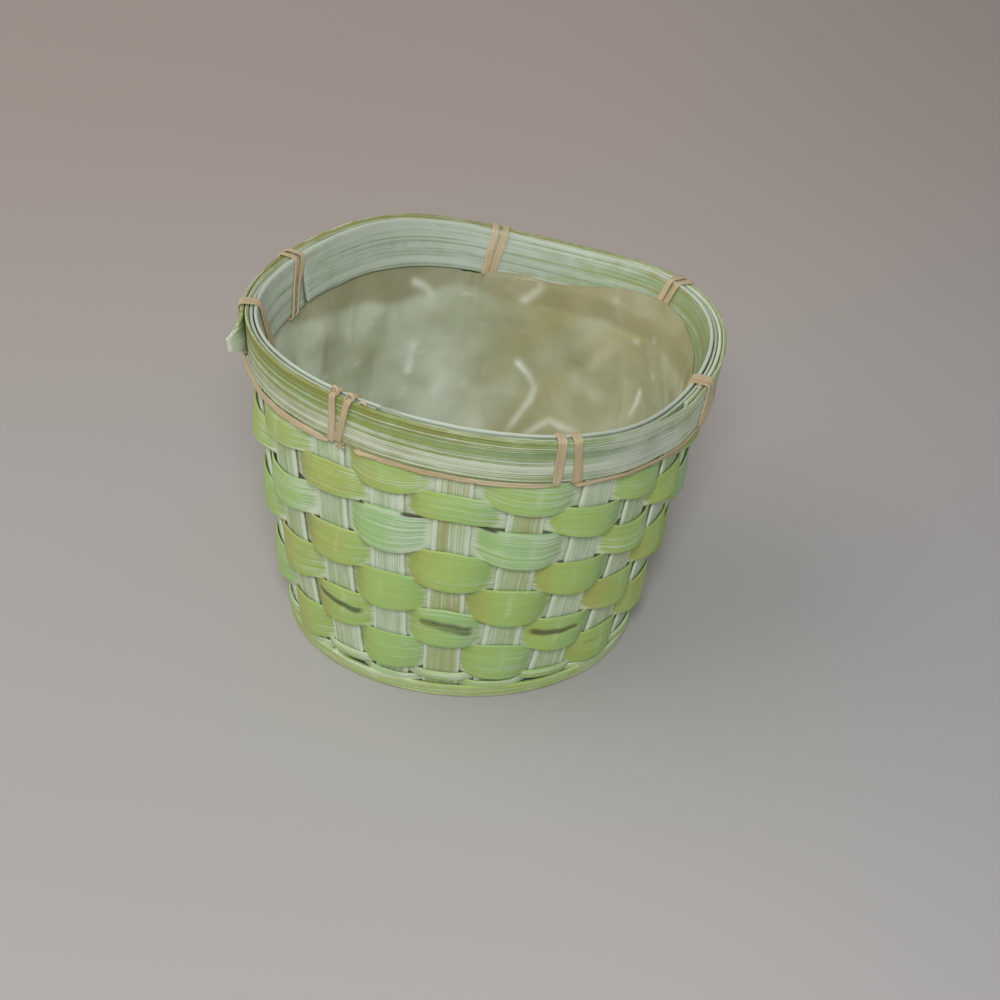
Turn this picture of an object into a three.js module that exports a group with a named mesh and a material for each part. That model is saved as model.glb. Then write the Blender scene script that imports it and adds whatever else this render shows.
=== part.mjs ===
// A small round bamboo planter basket, in millimetres, +Z up.
// The origin is the middle of the foot on the floor. Angle 0 is the front (-Y) and angles grow towards +X.
import * as THREE from 'three';

// Overall sizes of the wall's middle surface, before the rim leans, tilts and goes out of round
const height = 98.4;
const footRadius = 49.6;
const rimRadius = 67.4;
const wallBelly = 1.9;

// How the handmade foot and rim stray from level circles
const footOvalSize = 2.8;
const footOvalAngle = THREE.MathUtils.degToRad(68);
const rimLeanRight = 10.3;
const rimLeanBack = 4.6;
const rimTiltRightShare = -0.16;
const rimTiltBackShare = -0.036;
const rimOvalSize = 3.1;
const rimOvalAngle = THREE.MathUtils.degToRad(-39.5);
const rimLobeSize = 2;
const rimLobeAngle = THREE.MathUtils.degToRad(17);
const rimSquareSize = 2.1;
const rimSquareAngle = THREE.MathUtils.degToRad(14);
const rimSaddleHeight = 1.1;
const rimSaddleAngle = THREE.MathUtils.degToRad(17);
const rimWaveHeight = 2.3;
const rimWaveAngle = THREE.MathUtils.degToRad(-5);
const rimRippleHeight = 1.1;
const rimRippleAngle = THREE.MathUtils.degToRad(24);

// Uprights: flat strips that cross under the basket and rise on both sides
const stripsEachWay = 5;
const uprightCount = 4 * stripsEachWay;
const uprightPitch = 2 * Math.PI / uprightCount;
const firstUprightAngle = THREE.MathUtils.degToRad(-6.8);
const uprightWidth = 11;
const uprightThickness = 0.9;
const clearance = 0.3;
const bendSize = 1.8;

// Weaver strips, counted from the rim down
const weaverRows = 7;
const narrowRows = 2;
const narrowRowShare = 0.8;
const weaverThickness = 0.9;
const rowGap = 0.5;
const crownGrowth = 0.6;
const crownUpperBulge = 0.15;
const crownLowerBulge = 1.9;
const topCrownLowerBulge = 1.3;
const edgeBulgeShare = 0.35;
const innerBulge = 0.35;

// Foot: a plain hoop round the outside and narrow strips woven over it
const footHoopWidth = 3.6;
const footHoopThickness = 1.4;
const footWeavers = 2;
const footWeaverWidth = 2;
const footWeaverBulge = 0.4;

// Rim: a hoop outside and one inside the uprights, a filler between them, and tied strands round the bundle
const hoopWidth = 13.9;
const outerHoopThickness = 1.1;
const innerHoopThickness = 1.1;
const fillerHeight = 2.2;
const fillerDrop = 0.4;
const fillerSeamStep = 1.5;
const seamGap = 0.8;
const tailReach = 8;
const tailFlare = 5;
const tailTipDrop = 4.5;
const tailTipRise = 4;

// Places round the rim, in shares of the way from one upright to the next
const hoopStartShare = 3.95;
const hoopStepShare = 0.85;
const innerHoopSeamShare = -6.3;
const fillerSeamShare = -1.1;

// Ties: flat strands, each with two turns round the rim and a run below the hoop to the next tie
const strandWidth = 2;
const strandThickness = 0.55;
const tieSpacing = 3.2;
const tieBend = 0.5;
const strandSettle = 0.2;
const tieGapShares = [-5, -2, 1, 4, 7, 10, 14];
const tieLeanShares = [0.12, -0.18, -0.16, 0.18, -0.18, -0.25, -0.35];

// Liner: a clear film cup inside the weave
const linerThickness = 0.4;
const linerTuck = 5;
const linerFloorInset = 0.8;
const linerRings = 6;
const linerFolds = 17;
const linerFoldDepth = 2.4;
const linerFoldSlantShare = 0.35;

// Places worked out from the sizes above
const hoopBottom = height - hoopWidth;
const slotHeight = strandThickness + 2 * clearance;
const topRowTop = hoopBottom - slotHeight + clearance;
const firstFootWeaver = footHoopWidth + clearance;
const footTop = firstFootWeaver + footWeavers * (footWeaverWidth + clearance);
const fullRows = weaverRows - narrowRows;
const rowPitch = (topRowTop - footTop) / (fullRows + narrowRows * narrowRowShare);
const uprightFace = uprightThickness / 2;
const weaverReach = uprightFace + clearance + weaverThickness / 2;
const weaverInnerFace = -(weaverReach + innerBulge + weaverThickness / 2);
const linerOffset = weaverInnerFace - clearance - linerThickness / 2;
const outerHoopOffset = uprightFace + clearance + outerHoopThickness / 2;
const innerHoopOffset = linerOffset - linerThickness / 2 - clearance - innerHoopThickness / 2;
const innerHoopLean = -(uprightFace + clearance + innerHoopThickness / 2) - innerHoopOffset;
const linerLean = -(uprightFace + clearance + linerThickness / 2) - linerOffset;
const hoopLayerStep = outerHoopThickness + clearance;
const fillerTop = height - fillerDrop;
const uprightTop = fillerTop - fillerHeight - clearance;
const lowLevel = uprightThickness / 2;
const highLevel = lowLevel + uprightThickness + clearance;
const linerFloor = highLevel + uprightThickness / 2 + clearance + linerThickness / 2;

function uprightAngle(upright) {
  return firstUprightAngle + upright * uprightPitch;
}

// The wall's radius part of the way up, a little rounder than a plain cone
function bellied(foot, rim, rise) {
  return foot + (rim - foot) * rise + 4 * wallBelly * rise * (1 - rise);
}

// A point near the wall: its angle, its height before the rim tilts, and how far it lies outside the wall
function wallPoint(angle, level, offset) {
  const rise = level / height;
  const footOval = footOvalSize * Math.cos(2 * (angle - footOvalAngle));
  const rimOval = rimOvalSize * Math.cos(2 * (angle - rimOvalAngle));
  const rimLobe = rimLobeSize * Math.cos(3 * (angle - rimLobeAngle));
  const rimSquare = rimSquareSize * Math.cos(4 * (angle - rimSquareAngle));
  const foot = footRadius + footOval;
  const rim = rimRadius + rimOval + rimLobe + rimSquare;
  const radius = bellied(foot, rim, rise) + offset;
  const right = radius * Math.sin(angle);
  const back = -radius * Math.cos(angle);
  const saddle = rimSaddleHeight * Math.cos(2 * (angle - rimSaddleAngle));
  const wave = rimWaveHeight * Math.cos(3 * (angle - rimWaveAngle));
  const ripple = rimRippleHeight * Math.cos(4 * (angle - rimRippleAngle));
  const lift = rimTiltRightShare * right + rimTiltBackShare * back + saddle + wave + ripple;
  return new THREE.Vector3(right + rimLeanRight * rise, back + rimLeanBack * rise, level + lift * rise);
}

function wallRadius(level) {
  return bellied(footRadius, rimRadius, level / height);
}

// Half the angle that an upright fills at a height, with a margin beyond its edge
function uprightHalfAngle(level, margin) {
  return (uprightWidth / 2 + margin) / wallRadius(level);
}

// The height of the edge below a row, where row 0 stands for the edge above the first
function rowEdge(row) {
  const full = Math.min(weaverRows - row, fullRows);
  const narrow = Math.max(narrowRows - row, 0);
  return footTop + (full + narrow * narrowRowShare) * rowPitch;
}

function smoothStep(low, high, value) {
  return THREE.MathUtils.smoothstep(value, low, high);
}

// A closed solid through rings of matching points: open lofts get flat caps, closed ones join end to start.
// From the turned ring on, its faces are split along their other diagonal.
function loft(rings, closed, turnedFrom = rings.length) {
  const size = rings[0].length;
  const points = rings.flat();
  const triangles = [];
  const lastRing = closed ? rings.length : rings.length - 1;
  for (let ring = 0; ring < lastRing; ring += 1) {
    const here = ring * size;
    const next = ((ring + 1) % rings.length) * size;
    for (let corner = 0; corner < size; corner += 1) {
      const beside = (corner + 1) % size;
      if (ring < turnedFrom) {
        triangles.push(here + corner, here + beside, next + beside);
        triangles.push(here + corner, next + beside, next + corner);
      } else {
        triangles.push(here + corner, here + beside, next + corner);
        triangles.push(here + beside, next + beside, next + corner);
      }
    }
  }
  if (!closed) {
    addCap(points, triangles, 0, size, true);
    addCap(points, triangles, (rings.length - 1) * size, size, false);
  }
  return outwardGeometry(points, triangles);
}

// A cap is two triangles on a four-cornered ring, and a fan round the middle on a larger one
function addCap(points, triangles, start, size, reversed) {
  const corners = Array.from({ length: size }, (_, corner) => start + corner);
  if (reversed) {
    corners.reverse();
  }
  if (size === 4) {
    triangles.push(corners[0], corners[1], corners[2]);
    triangles.push(corners[0], corners[2], corners[3]);
    return;
  }
  const middle = new THREE.Vector3();
  corners.forEach((corner) => middle.add(points[corner]));
  points.push(middle.divideScalar(size));
  corners.forEach((corner, index) => {
    triangles.push(points.length - 1, corner, corners[(index + 1) % size]);
  });
}

// Turns every face of a closed solid outwards
function outwardGeometry(points, triangles) {
  let volume = 0;
  for (let index = 0; index < triangles.length; index += 3) {
    const [a, b, c] = [0, 1, 2].map((corner) => points[triangles[index + corner]]);
    volume += a.dot(new THREE.Vector3().crossVectors(b, c));
  }
  const geometry = new THREE.BufferGeometry().setFromPoints(points);
  geometry.setIndex(volume < 0 ? triangles.reverse() : triangles);
  geometry.computeVertexNormals();
  return geometry;
}

// The four corners of a strip that stands against the wall, or leans over it at its top
function standingSection(angle, bottom, top, offset, thickness, lean = 0) {
  const out = offset + thickness / 2;
  const inn = offset - thickness / 2;
  return [
    wallPoint(angle, bottom, out),
    wallPoint(angle, top, out + lean),
    wallPoint(angle, top, inn + lean),
    wallPoint(angle, bottom, inn),
  ];
}

// One woven row: it passes outside an upright, through the gap, and inside the next one
function wovenRow(bottom, top, overEven, lowerBulge, growth) {
  const edgeMargin = clearance;
  const rings = [];
  const section = (angle, margin, side, grow, lowOffset, highOffset) => {
    const low = bottom - grow;
    const high = top + grow;
    const turn = (level) => (side === 0 ? angle : angle + side * uprightHalfAngle(level, margin));
    const half = weaverThickness / 2;
    return [
      wallPoint(turn(low), low, lowOffset + half),
      wallPoint(turn(high), high, highOffset + half),
      wallPoint(turn(high), high, highOffset - half),
      wallPoint(turn(low), low, lowOffset - half),
    ];
  };
  for (let upright = 0; upright < uprightCount; upright += 1) {
    const outside = (upright % 2 === 0) === overEven;
    const angle = uprightAngle(upright);
    const edgeLow = outside ? weaverReach + edgeBulgeShare * lowerBulge : -weaverReach;
    const edgeHigh = outside ? weaverReach : -weaverReach;
    const crownLow = outside ? weaverReach + lowerBulge : -weaverReach - innerBulge;
    const crownHigh = outside ? weaverReach + crownUpperBulge : -weaverReach - innerBulge;
    const grow = outside ? growth : 0;
    rings.push(section(angle, edgeMargin, -1, grow / 2, edgeLow, edgeHigh));
    rings.push(section(angle, edgeMargin, 0, grow, crownLow, crownHigh));
    rings.push(section(angle, edgeMargin, 1, grow / 2, edgeLow, edgeHigh));
    rings.push(section(angle + uprightPitch / 2, edgeMargin, 0, 0, 0, 0));
  }
  return loft(rings, true);
}

// Upright positions of a hoop's corners: one on each side of every upright between two places
function hoopStations(from, to, level) {
  const edge = uprightHalfAngle(level, clearance) / uprightPitch;
  const stations = [from];
  for (let upright = Math.floor(from) - 1; upright <= Math.ceil(to) + 1; upright += 1) {
    stations.push(upright - edge, upright + edge);
  }
  const closest = edge / 3;
  const inside = stations.filter((place) => place > from + closest && place < to - closest);
  return [from, ...inside.sort((a, b) => a - b), to];
}

// A closed hoop of one strip
function plainHoop(bottom, top, offset, thickness) {
  const edge = uprightHalfAngle(bottom, clearance);
  const rings = [];
  for (let upright = 0; upright < uprightCount; upright += 1) {
    rings.push(standingSection(uprightAngle(upright) - edge, bottom, top, offset, thickness));
    rings.push(standingSection(uprightAngle(upright) + edge, bottom, top, offset, thickness));
  }
  return loft(rings, true);
}

// A hoop whose two ends meet at a seam, where one end can rise a little
function seamedHoop(seam, bottom, top, offset, thickness, lean, endStep) {
  const gap = seamGap / rimRadius / uprightPitch;
  const stations = hoopStations(seam, seam + uprightCount - gap, top);
  const rings = stations.map((place, index) => {
    const step = index === 0 ? endStep : 0;
    return standingSection(uprightAngle(place), bottom + step, top + step, offset, thickness, lean);
  });
  return loft(rings, false);
}

// The outer hoop winds one and a half times round, and its free end springs out past the last tie
const hoopTieUpright = tieGapShares[0] + 0.5 + tieLeanShares[0] + 2 * uprightCount;
const hoopTailUpright = hoopTieUpright + (tieSpacing / 2 + strandWidth) / rimRadius / uprightPitch;
const hoopEndUpright = hoopTailUpright + tailReach / rimRadius / uprightPitch;
const hoopStepEnd = hoopStartShare + uprightCount - seamGap / rimRadius / uprightPitch;
const hoopStepStart = hoopStepEnd - hoopStepShare;

function outerHoop() {
  const middle = (hoopTailUpright + hoopEndUpright) / 2;
  const stations = hoopStations(hoopStartShare, hoopTailUpright, height);
  const rings = [...stations, middle, hoopEndUpright].map((place) => {
    const layer = smoothStep(hoopStepStart, hoopStepEnd, place);
    const along = Math.max(0, (place - hoopTailUpright) / (hoopEndUpright - hoopTailUpright));
    const offset = outerHoopOffset + hoopLayerStep * layer + tailFlare * along ** 2;
    const bottom = hoopBottom + tailTipRise * along;
    const top = height - tailTipDrop * along;
    return standingSection(uprightAngle(place), bottom, top, offset, outerHoopThickness);
  });
  return loft(rings, false);
}

// How far out the strands of the ties lie, beyond one or two layers of the outer hoop
function strandOffset(place) {
  const turned = THREE.MathUtils.euclideanModulo(place - hoopStartShare, uprightCount) + hoopStartShare;
  const rising = smoothStep(hoopStepStart, hoopStepEnd, turned);
  const end = hoopEndUpright - uprightCount;
  const falling = 1 - smoothStep(end, end + hoopStepShare, turned);
  const layers = Math.max(rising, falling);
  const hoopFace = outerHoopOffset + outerHoopThickness / 2 + hoopLayerStep * layers;
  const crownFace = weaverReach + topCrownLowerBulge / 2 + weaverThickness / 2;
  return Math.max(hoopFace, crownFace) + clearance + strandThickness / 2;
}

// The two uprights that one strip forms, from front to back or from the right side to the left
function stripEnds(index, acrossWay) {
  const quarter = uprightCount / 4;
  return acrossWay ? [quarter + index, 3 * quarter - index] : [index, 2 * quarter - index];
}

function stripFeet(index, acrossWay) {
  return stripEnds(index, acrossWay).map((upright) => wallPoint(uprightAngle(upright), 0, 0));
}

// One upright strip: up one side of the basket, under it and up the other side
function uprightStrip(index, acrossWay) {
  const [start, end] = stripEnds(index, acrossWay);
  const [startFoot, endFoot] = stripFeet(index, acrossWay);
  const along = endFoot.clone().sub(startFoot);
  const halfChord = along.length() / 2;
  along.normalize();
  const middle = startFoot.clone().add(endFoot).divideScalar(2);
  const down = new THREE.Vector3(0, 0, -1);
  const side = new THREE.Vector3().crossVectors(along, down);
  const crossings = Array.from({ length: stripsEachWay }, (_, step) => step - (stripsEachWay - 1) / 2);
  const isLow = (crossing) => ((Math.abs(index + crossing) % 2 === 0) !== acrossWay);
  const levelAt = (crossing) => (isLow(crossing) ? lowLevel : highLevel);
  const placeOf = (crossing) => {
    const [near, far] = stripFeet(acrossWay ? -crossing : crossing, !acrossWay);
    const normal = new THREE.Vector3().crossVectors(far.sub(near), down);
    return near.sub(middle).dot(normal) / along.dot(normal);
  };
  const rings = [];

  const wallSection = (upright, level, turn) => {
    const half = turn * uprightHalfAngle(level, 0);
    const angle = uprightAngle(upright);
    return [
      wallPoint(angle - half, level, uprightFace),
      wallPoint(angle + half, level, uprightFace),
      wallPoint(angle + half, level, -uprightFace),
      wallPoint(angle - half, level, -uprightFace),
    ];
  };
  const lyingSection = (place, level, width, facing) => {
    const centre = middle.clone().addScaledVector(along, place).setZ(level);
    const half = width.clone().multiplyScalar(uprightWidth / 2);
    const face = facing.clone().multiplyScalar(uprightFace);
    return [
      centre.clone().add(half).add(face),
      centre.clone().sub(half).add(face),
      centre.clone().sub(half).sub(face),
      centre.clone().add(half).sub(face),
    ];
  };
  const wallLevels = (level) => {
    const edges = Array.from({ length: weaverRows + 1 }, (_, row) => rowEdge(weaverRows - row));
    return [level + bendSize, ...edges, uprightTop];
  };
  const bendSection = (upright, level, sign) => {
    const [left, right] = [-1, 1].map((turn) => (
      wallPoint(uprightAngle(upright) + turn * uprightHalfAngle(0, 0), 0, 0)));
    const tangent = right.sub(left).normalize();
    const outward = new THREE.Vector3().crossVectors(down, tangent);
    const width = tangent.multiplyScalar(sign).lerp(side, 1 / 3).normalize();
    const facing = outward.multiplyScalar(Math.sin(Math.PI / 8)).addScaledVector(down, Math.cos(Math.PI / 8));
    return lyingSection(sign * (halfChord - bendSize), level, width, facing);
  };

  const startLevel = levelAt(crossings[0]);
  wallLevels(startLevel).reverse().forEach((level) => rings.push(wallSection(start, level, 1)));
  rings.push(bendSection(start, startLevel, -1));
  const flatHalf = uprightWidth / 2 + clearance / 2;
  crossings.forEach((crossing) => {
    const place = placeOf(crossing);
    rings.push(lyingSection(place - flatHalf, levelAt(crossing), side, down));
    rings.push(lyingSection(place + flatHalf, levelAt(crossing), side, down));
  });
  const endLevel = levelAt(crossings[crossings.length - 1]);
  rings.push(bendSection(end, endLevel, 1));
  wallLevels(endLevel).forEach((level) => rings.push(wallSection(end, level, -1)));
  return loft(rings, false);
}

// A flat strand along a path of points, each with the way that its face looks
function ribbon(path, place) {
  const rings = path.map((point, index) => {
    const before = path[Math.max(index - 1, 0)].at;
    const after = path[Math.min(index + 1, path.length - 1)].at;
    const arriving = (index === 0 ? after.clone().sub(point.at) : point.at.clone().sub(before)).normalize();
    const last = index === path.length - 1;
    const leaving = (last ? point.at.clone().sub(before) : after.clone().sub(point.at)).normalize();
    const way = arriving.clone().add(leaving).normalize();
    const face = point.face.clone().addScaledVector(way, -point.face.dot(way)).normalize();
    const width = new THREE.Vector3().crossVectors(way, face);
    const stretch = 1 / way.dot(arriving) - 1;
    const bend = leaving.clone().sub(arriving).normalize();
    const half = width.clone().multiplyScalar(strandWidth / 2 * (1 + stretch * bend.dot(width) ** 2));
    const depth = face.clone().multiplyScalar(strandThickness / 2 * (1 + stretch * bend.dot(face) ** 2));
    return [
      point.at.clone().add(half).add(depth),
      point.at.clone().sub(half).add(depth),
      point.at.clone().sub(half).sub(depth),
      point.at.clone().add(half).sub(depth),
    ].map(place);
  });
  return loft(rings, false);
}

// The flat map of the rim that ties are laid out on: x runs round the rim, y outwards and z up
function rimMap(point) {
  return wallPoint(firstUprightAngle + point.x / rimRadius, point.z, point.y);
}

function mapPlace(upright) {
  return upright * uprightPitch * rimRadius;
}

// The path of one tie: two turns round the rim bundle, then a run below the hoop to the next tie
function tiePath(tie) {
  const gap = tieGapShares[tie] + 0.5;
  const isLast = tie + 1 === tieGapShares.length;
  const nextGap = isLast ? tieGapShares[0] + 0.5 + uprightCount : tieGapShares[tie + 1] + 0.5;
  const crossings = [-0.5, 0.5].map((share) => mapPlace(gap) + share * tieSpacing);
  const tops = [-0.5, 0.5].map((share) => mapPlace(gap + tieLeanShares[tie]) + share * tieSpacing);
  const entry = crossings[0] - tieSpacing;
  const nextEntry = mapPlace(nextGap) - 1.5 * tieSpacing;
  const outerAt = (x) => strandOffset(x / rimRadius / uprightPitch);
  const innerFace = innerHoopOffset - innerHoopThickness / 2;
  const hoopSag = rimRadius * (1 - Math.cos(uprightPitch / 4));
  const inner = innerFace - hoopSag - clearance - strandThickness / 2;
  const innerTop = inner + innerHoopLean;
  const topLevel = height + clearance + strandThickness / 2;
  const slotLevel = hoopBottom - clearance - strandThickness / 2;
  const runLevel = hoopBottom - clearance - strandWidth / 2;
  const exitLevel = slotLevel - tieBend - strandWidth / 2 - strandSettle / 2;
  const path = [];
  const add = (x, y, z, faceX, faceY, faceZ) => {
    path.push({ at: new THREE.Vector3(x, y, z), face: new THREE.Vector3(faceX, faceY, faceZ) });
  };

  const arrival = strandWidth / 2 + clearance;
  add(entry - arrival, outerAt(entry), runLevel, 0, 1, 0);
  add(entry, outerAt(entry), runLevel, 0, 1, 0);
  tops.forEach((top, turn) => {
    const crossing = crossings[turn];
    const outer = outerAt(top);
    if (turn > 0) {
      add(crossings[0], outerAt(crossings[0]), slotLevel + tieBend, 0, 1, -1);
    }
    add(top, outer, topLevel - tieBend, 0, 1, 1);
    add(top, outer - tieBend, topLevel, 0, 1, 1);
    add(top, innerTop + tieBend, topLevel, 0, -1, 1);
    add(top, innerTop, topLevel - tieBend, 0, -1, 1);
    add(crossing, inner, slotLevel + tieBend, 0, -1, -1);
    add(crossing, inner + tieBend, slotLevel, 0, -1, -1);
    add(crossing, outerAt(crossing) - tieBend, slotLevel, 0, turn === 0 ? 1 : -1, -1);
  });
  const leave = crossings[1];
  add(leave, outerAt(leave), slotLevel - tieBend, 0, -1, -1);
  add(leave, outerAt(leave), exitLevel, 0, -1, 0);
  for (let upright = gap + 0.5; upright <= nextGap - 0.5; upright += 0.5) {
    add(mapPlace(upright), strandOffset(upright), runLevel - strandSettle, 0, -1, 0);
  }
  const runEnd = nextEntry - arrival - clearance;
  add(runEnd, outerAt(runEnd), runLevel, 0, -1, 0);
  return path;
}

// The least gap between stretches of a tie's path that lie more than a few strand widths apart along it
function leastSelfGap(path) {
  const steps = 8;
  const samples = [];
  let run = 0;
  path.slice(1).forEach((point, index) => {
    const from = path[index].at;
    for (let step = 0; step < steps; step += 1) {
      const at = from.clone().lerp(point.at, step / steps);
      samples.push({ at, run: run + from.distanceTo(at) });
    }
    run += from.distanceTo(point.at);
  });
  let least = Infinity;
  samples.forEach((one, index) => {
    samples.slice(index + 1).forEach((two) => {
      if (two.run - one.run > 3 * strandWidth) {
        least = Math.min(least, one.at.distanceTo(two.at) - strandWidth);
      }
    });
  });
  return least;
}

// The film cup: a flat floor, and a wall with folds, which is tucked behind the inner hoop
function liner() {
  const notch = topRowTop - rowGap / 2;
  const stations = [];
  for (let upright = 0; upright < uprightCount; upright += 1) {
    const edge = uprightHalfAngle(height / 2, clearance) / uprightPitch;
    stations.push({ place: upright - edge, gap: upright - 1 });
    stations.push({ place: upright + edge, gap: upright });
  }
  const isTied = (gap) => tieGapShares.some((tied) => (tied - gap) % uprightCount === 0);
  const kneeOf = (station) => (isTied(station.gap) ? notch - rowGap : hoopBottom);
  const topOf = (station) => (isTied(station.gap) ? notch : hoopBottom + linerTuck);
  const leanOf = (station) => (isTied(station.gap) ? 0 : linerLean);
  const ring = (levelOf, side, shiftOf) => stations.map((station, index) => {
    const offset = linerOffset + side * linerThickness / 2 + shiftOf(station, index);
    return wallPoint(uprightAngle(station.place), levelOf(station), offset);
  });
  const foldShift = (step, index) => {
    const turn = linerFolds * index / stations.length + linerFoldSlantShare * step;
    return step < linerRings ? -linerFoldDepth * (1 - Math.cos(2 * Math.PI * turn)) / 2 : 0;
  };
  const wallRing = (step, side) => ring(
    (station) => THREE.MathUtils.lerp(linerFloor, kneeOf(station), step / linerRings),
    side,
    (station, index) => foldShift(step, index));
  const floorRing = (level, side) => (
    ring(() => level, side, () => -linerFloorInset).map((point) => point.setZ(level)));
  const steps = Array.from({ length: linerRings }, (_, step) => step + 1);
  const rings = [
    floorRing(linerFloor - linerThickness / 2, 1),
    ...steps.map((step) => wallRing(step, 1)),
    ring(topOf, 1, leanOf),
    ring(topOf, -1, leanOf),
    ...steps.reverse().map((step) => wallRing(step, -1)),
    floorRing(linerFloor + linerThickness / 2, -1),
  ];
  return loft(rings, false, rings.length / 2);
}

const basket = new THREE.Group();

function addPart(name, geometry, color, roughness) {
  const material = new THREE.MeshStandardMaterial({ color, roughness, metalness: 0 });
  const mesh = new THREE.Mesh(geometry, material);
  mesh.name = name;
  basket.add(mesh);
}

const halfStrips = (stripsEachWay - 1) / 2;
for (let strip = 0; strip < stripsEachWay; strip += 1) {
  addPart(`upright_front_back_${strip + 1}`, uprightStrip(strip - halfStrips, false), 0xa5b28c, 0.7);
  addPart(`upright_side_side_${strip + 1}`, uprightStrip(strip - halfStrips, true), 0xa9b692, 0.7);
}

for (let row = 1; row <= weaverRows; row += 1) {
  const top = rowEdge(row - 1);
  const bottom = rowEdge(row);
  const lowerBulge = row === 1 ? topCrownLowerBulge : crownLowerBulge;
  const growth = row === 1 ? clearance : crownGrowth;
  const geometry = wovenRow(bottom + rowGap / 2, top - rowGap / 2, row % 2 === 0, lowerBulge, growth);
  addPart(`weaver_row_${row}`, geometry, 0x94b058, 0.6);
}

for (let row = 0; row < footWeavers; row += 1) {
  const bottom = firstFootWeaver + row * (footWeaverWidth + clearance);
  const geometry = wovenRow(bottom, bottom + footWeaverWidth, row % 2 === 1, footWeaverBulge, 0);
  addPart(row === 0 ? 'foot_weaver_lower' : 'foot_weaver_upper', geometry, 0xa8b88c, 0.65);
}

const footHoopOffset = uprightFace + clearance + footHoopThickness / 2;
addPart('foot_hoop', plainHoop(0, footHoopWidth, footHoopOffset, footHoopThickness), 0x8f9e58, 0.6);
addPart('rim_outer_hoop', outerHoop(), 0x93a068, 0.6);
addPart('rim_inner_hoop', seamedHoop(
  innerHoopSeamShare, hoopBottom, height,
  innerHoopOffset, innerHoopThickness, innerHoopLean, 0), 0x9aaa96, 0.65);

const fillerOuterFace = outerHoopOffset - outerHoopThickness / 2 - clearance;
const fillerInnerFace = innerHoopOffset + innerHoopLean + innerHoopThickness / 2 + clearance;
addPart('rim_filler', seamedHoop(
  fillerSeamShare, fillerTop - fillerHeight, fillerTop, (fillerOuterFace + fillerInnerFace) / 2,
  fillerOuterFace - fillerInnerFace, 0, fillerSeamStep), 0xb0b88c, 0.65);

let leastGap = Infinity;
for (let tie = 0; tie < tieGapShares.length; tie += 1) {
  const path = tiePath(tie);
  leastGap = Math.min(leastGap, leastSelfGap(path));
  addPart(`rim_tie_${tie + 1}`, ribbon(path, rimMap), 0xbfa784, 0.75);
}
console.log(`least gap of a tie to itself: ${leastGap.toFixed(2)} mm`);

addPart('film_liner', liner(), 0xc8cdb8, 0.25);

export default basket;
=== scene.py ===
import math

import bpy
import numpy as np
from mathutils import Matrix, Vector


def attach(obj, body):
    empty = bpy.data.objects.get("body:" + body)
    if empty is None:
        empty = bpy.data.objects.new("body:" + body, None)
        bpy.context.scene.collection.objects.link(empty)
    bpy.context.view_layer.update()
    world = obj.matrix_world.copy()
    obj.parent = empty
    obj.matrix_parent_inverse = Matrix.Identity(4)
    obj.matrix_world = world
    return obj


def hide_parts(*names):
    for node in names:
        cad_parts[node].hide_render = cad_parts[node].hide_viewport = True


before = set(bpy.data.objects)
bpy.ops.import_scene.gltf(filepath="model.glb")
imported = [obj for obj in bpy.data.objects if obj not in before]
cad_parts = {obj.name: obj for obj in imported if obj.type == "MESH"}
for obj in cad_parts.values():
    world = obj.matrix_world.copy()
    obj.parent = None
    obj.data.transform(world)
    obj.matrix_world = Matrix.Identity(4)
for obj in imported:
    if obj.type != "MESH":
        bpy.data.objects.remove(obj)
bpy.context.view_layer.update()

MM = 0.001

# The basket's sizes in millimetres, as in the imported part
HEIGHT = 98.4
FOOT_RADIUS = 49.6
RIM_RADIUS = 67.4
BELLY = 1.9
RIM_LEAN_RIGHT = 10.3
RIM_LEAN_BACK = 4.6
RIM_TILT_RIGHT = -0.16
RIM_TILT_BACK = -0.036
# Waves round the basket in the foot's and the rim's radius and in the rim's level: how many waves go round,
# their height, and the angle in degrees of one crest
FOOT_WAVES = [(2, 2.8, 68)]
RIM_WAVES = [(2, 3.1, -39.5), (3, 2, 17), (4, 2.1, 14)]
LEVEL_WAVES = [(2, 1.1, 17), (3, 2.3, -5), (4, 1.1, 24)]

STRIPS = 5
UPRIGHTS = 4 * STRIPS
PITCH = 2 * math.pi / UPRIGHTS
FIRST_ANGLE = math.radians(-6.8)
UPRIGHT_WIDTH = 11
UPRIGHT_THICK = 0.9
CLEAR = 0.3

ROWS = 7
WEAVER_THICK = 0.9
ROW_GAP = 0.5
NARROW_ROWS = 2
NARROW_ROW_SHARE = 0.8
CROWN_GROWTH = 0.6
CROWN_BULGE = 1.9
TOP_CROWN_BULGE = 1.3
INNER_BULGE = 0.35

FOOT_HOOP_WIDTH = 3.6
FOOT_HOOP_THICK = 1.4
FOOT_WEAVERS = 2
FOOT_WEAVER_WIDTH = 2

HOOP_WIDTH = 13.9
OUTER_THICK = 1.1
INNER_THICK = 1.1
FILLER_HEIGHT = 2.2
FILLER_DROP = 0.4
HOOP_START = 3.95
HOOP_STEP = 0.85
TAIL_REACH = 8
TAIL_FLARE = 5
TAIL_DROP = 4.5
TAIL_RISE = 4
INNER_SEAM = -5.86
FILLER_SEAM = -1.1
FILLER_SEAM_STEP = 1.5
SEAM_GAP = 0.8

STRAND_WIDTH = 2
STRAND_THICK = 0.55
TIE_SPACING = 3.2
TIE_BEND = 0.5
TIE_GAPS = [-5, -2, 1, 4, 7, 10, 14]
FIRST_TIE_LEAN = 0.12

LINER_THICK = 0.4
LINER_TUCK = 5
LINER_FLOOR_INSET = 0.8
LINER_RINGS = 6
LINER_FOLDS = 17
LINER_FOLD_DEPTH = 2.4
LINER_FOLD_SLANT = 0.35

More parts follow.
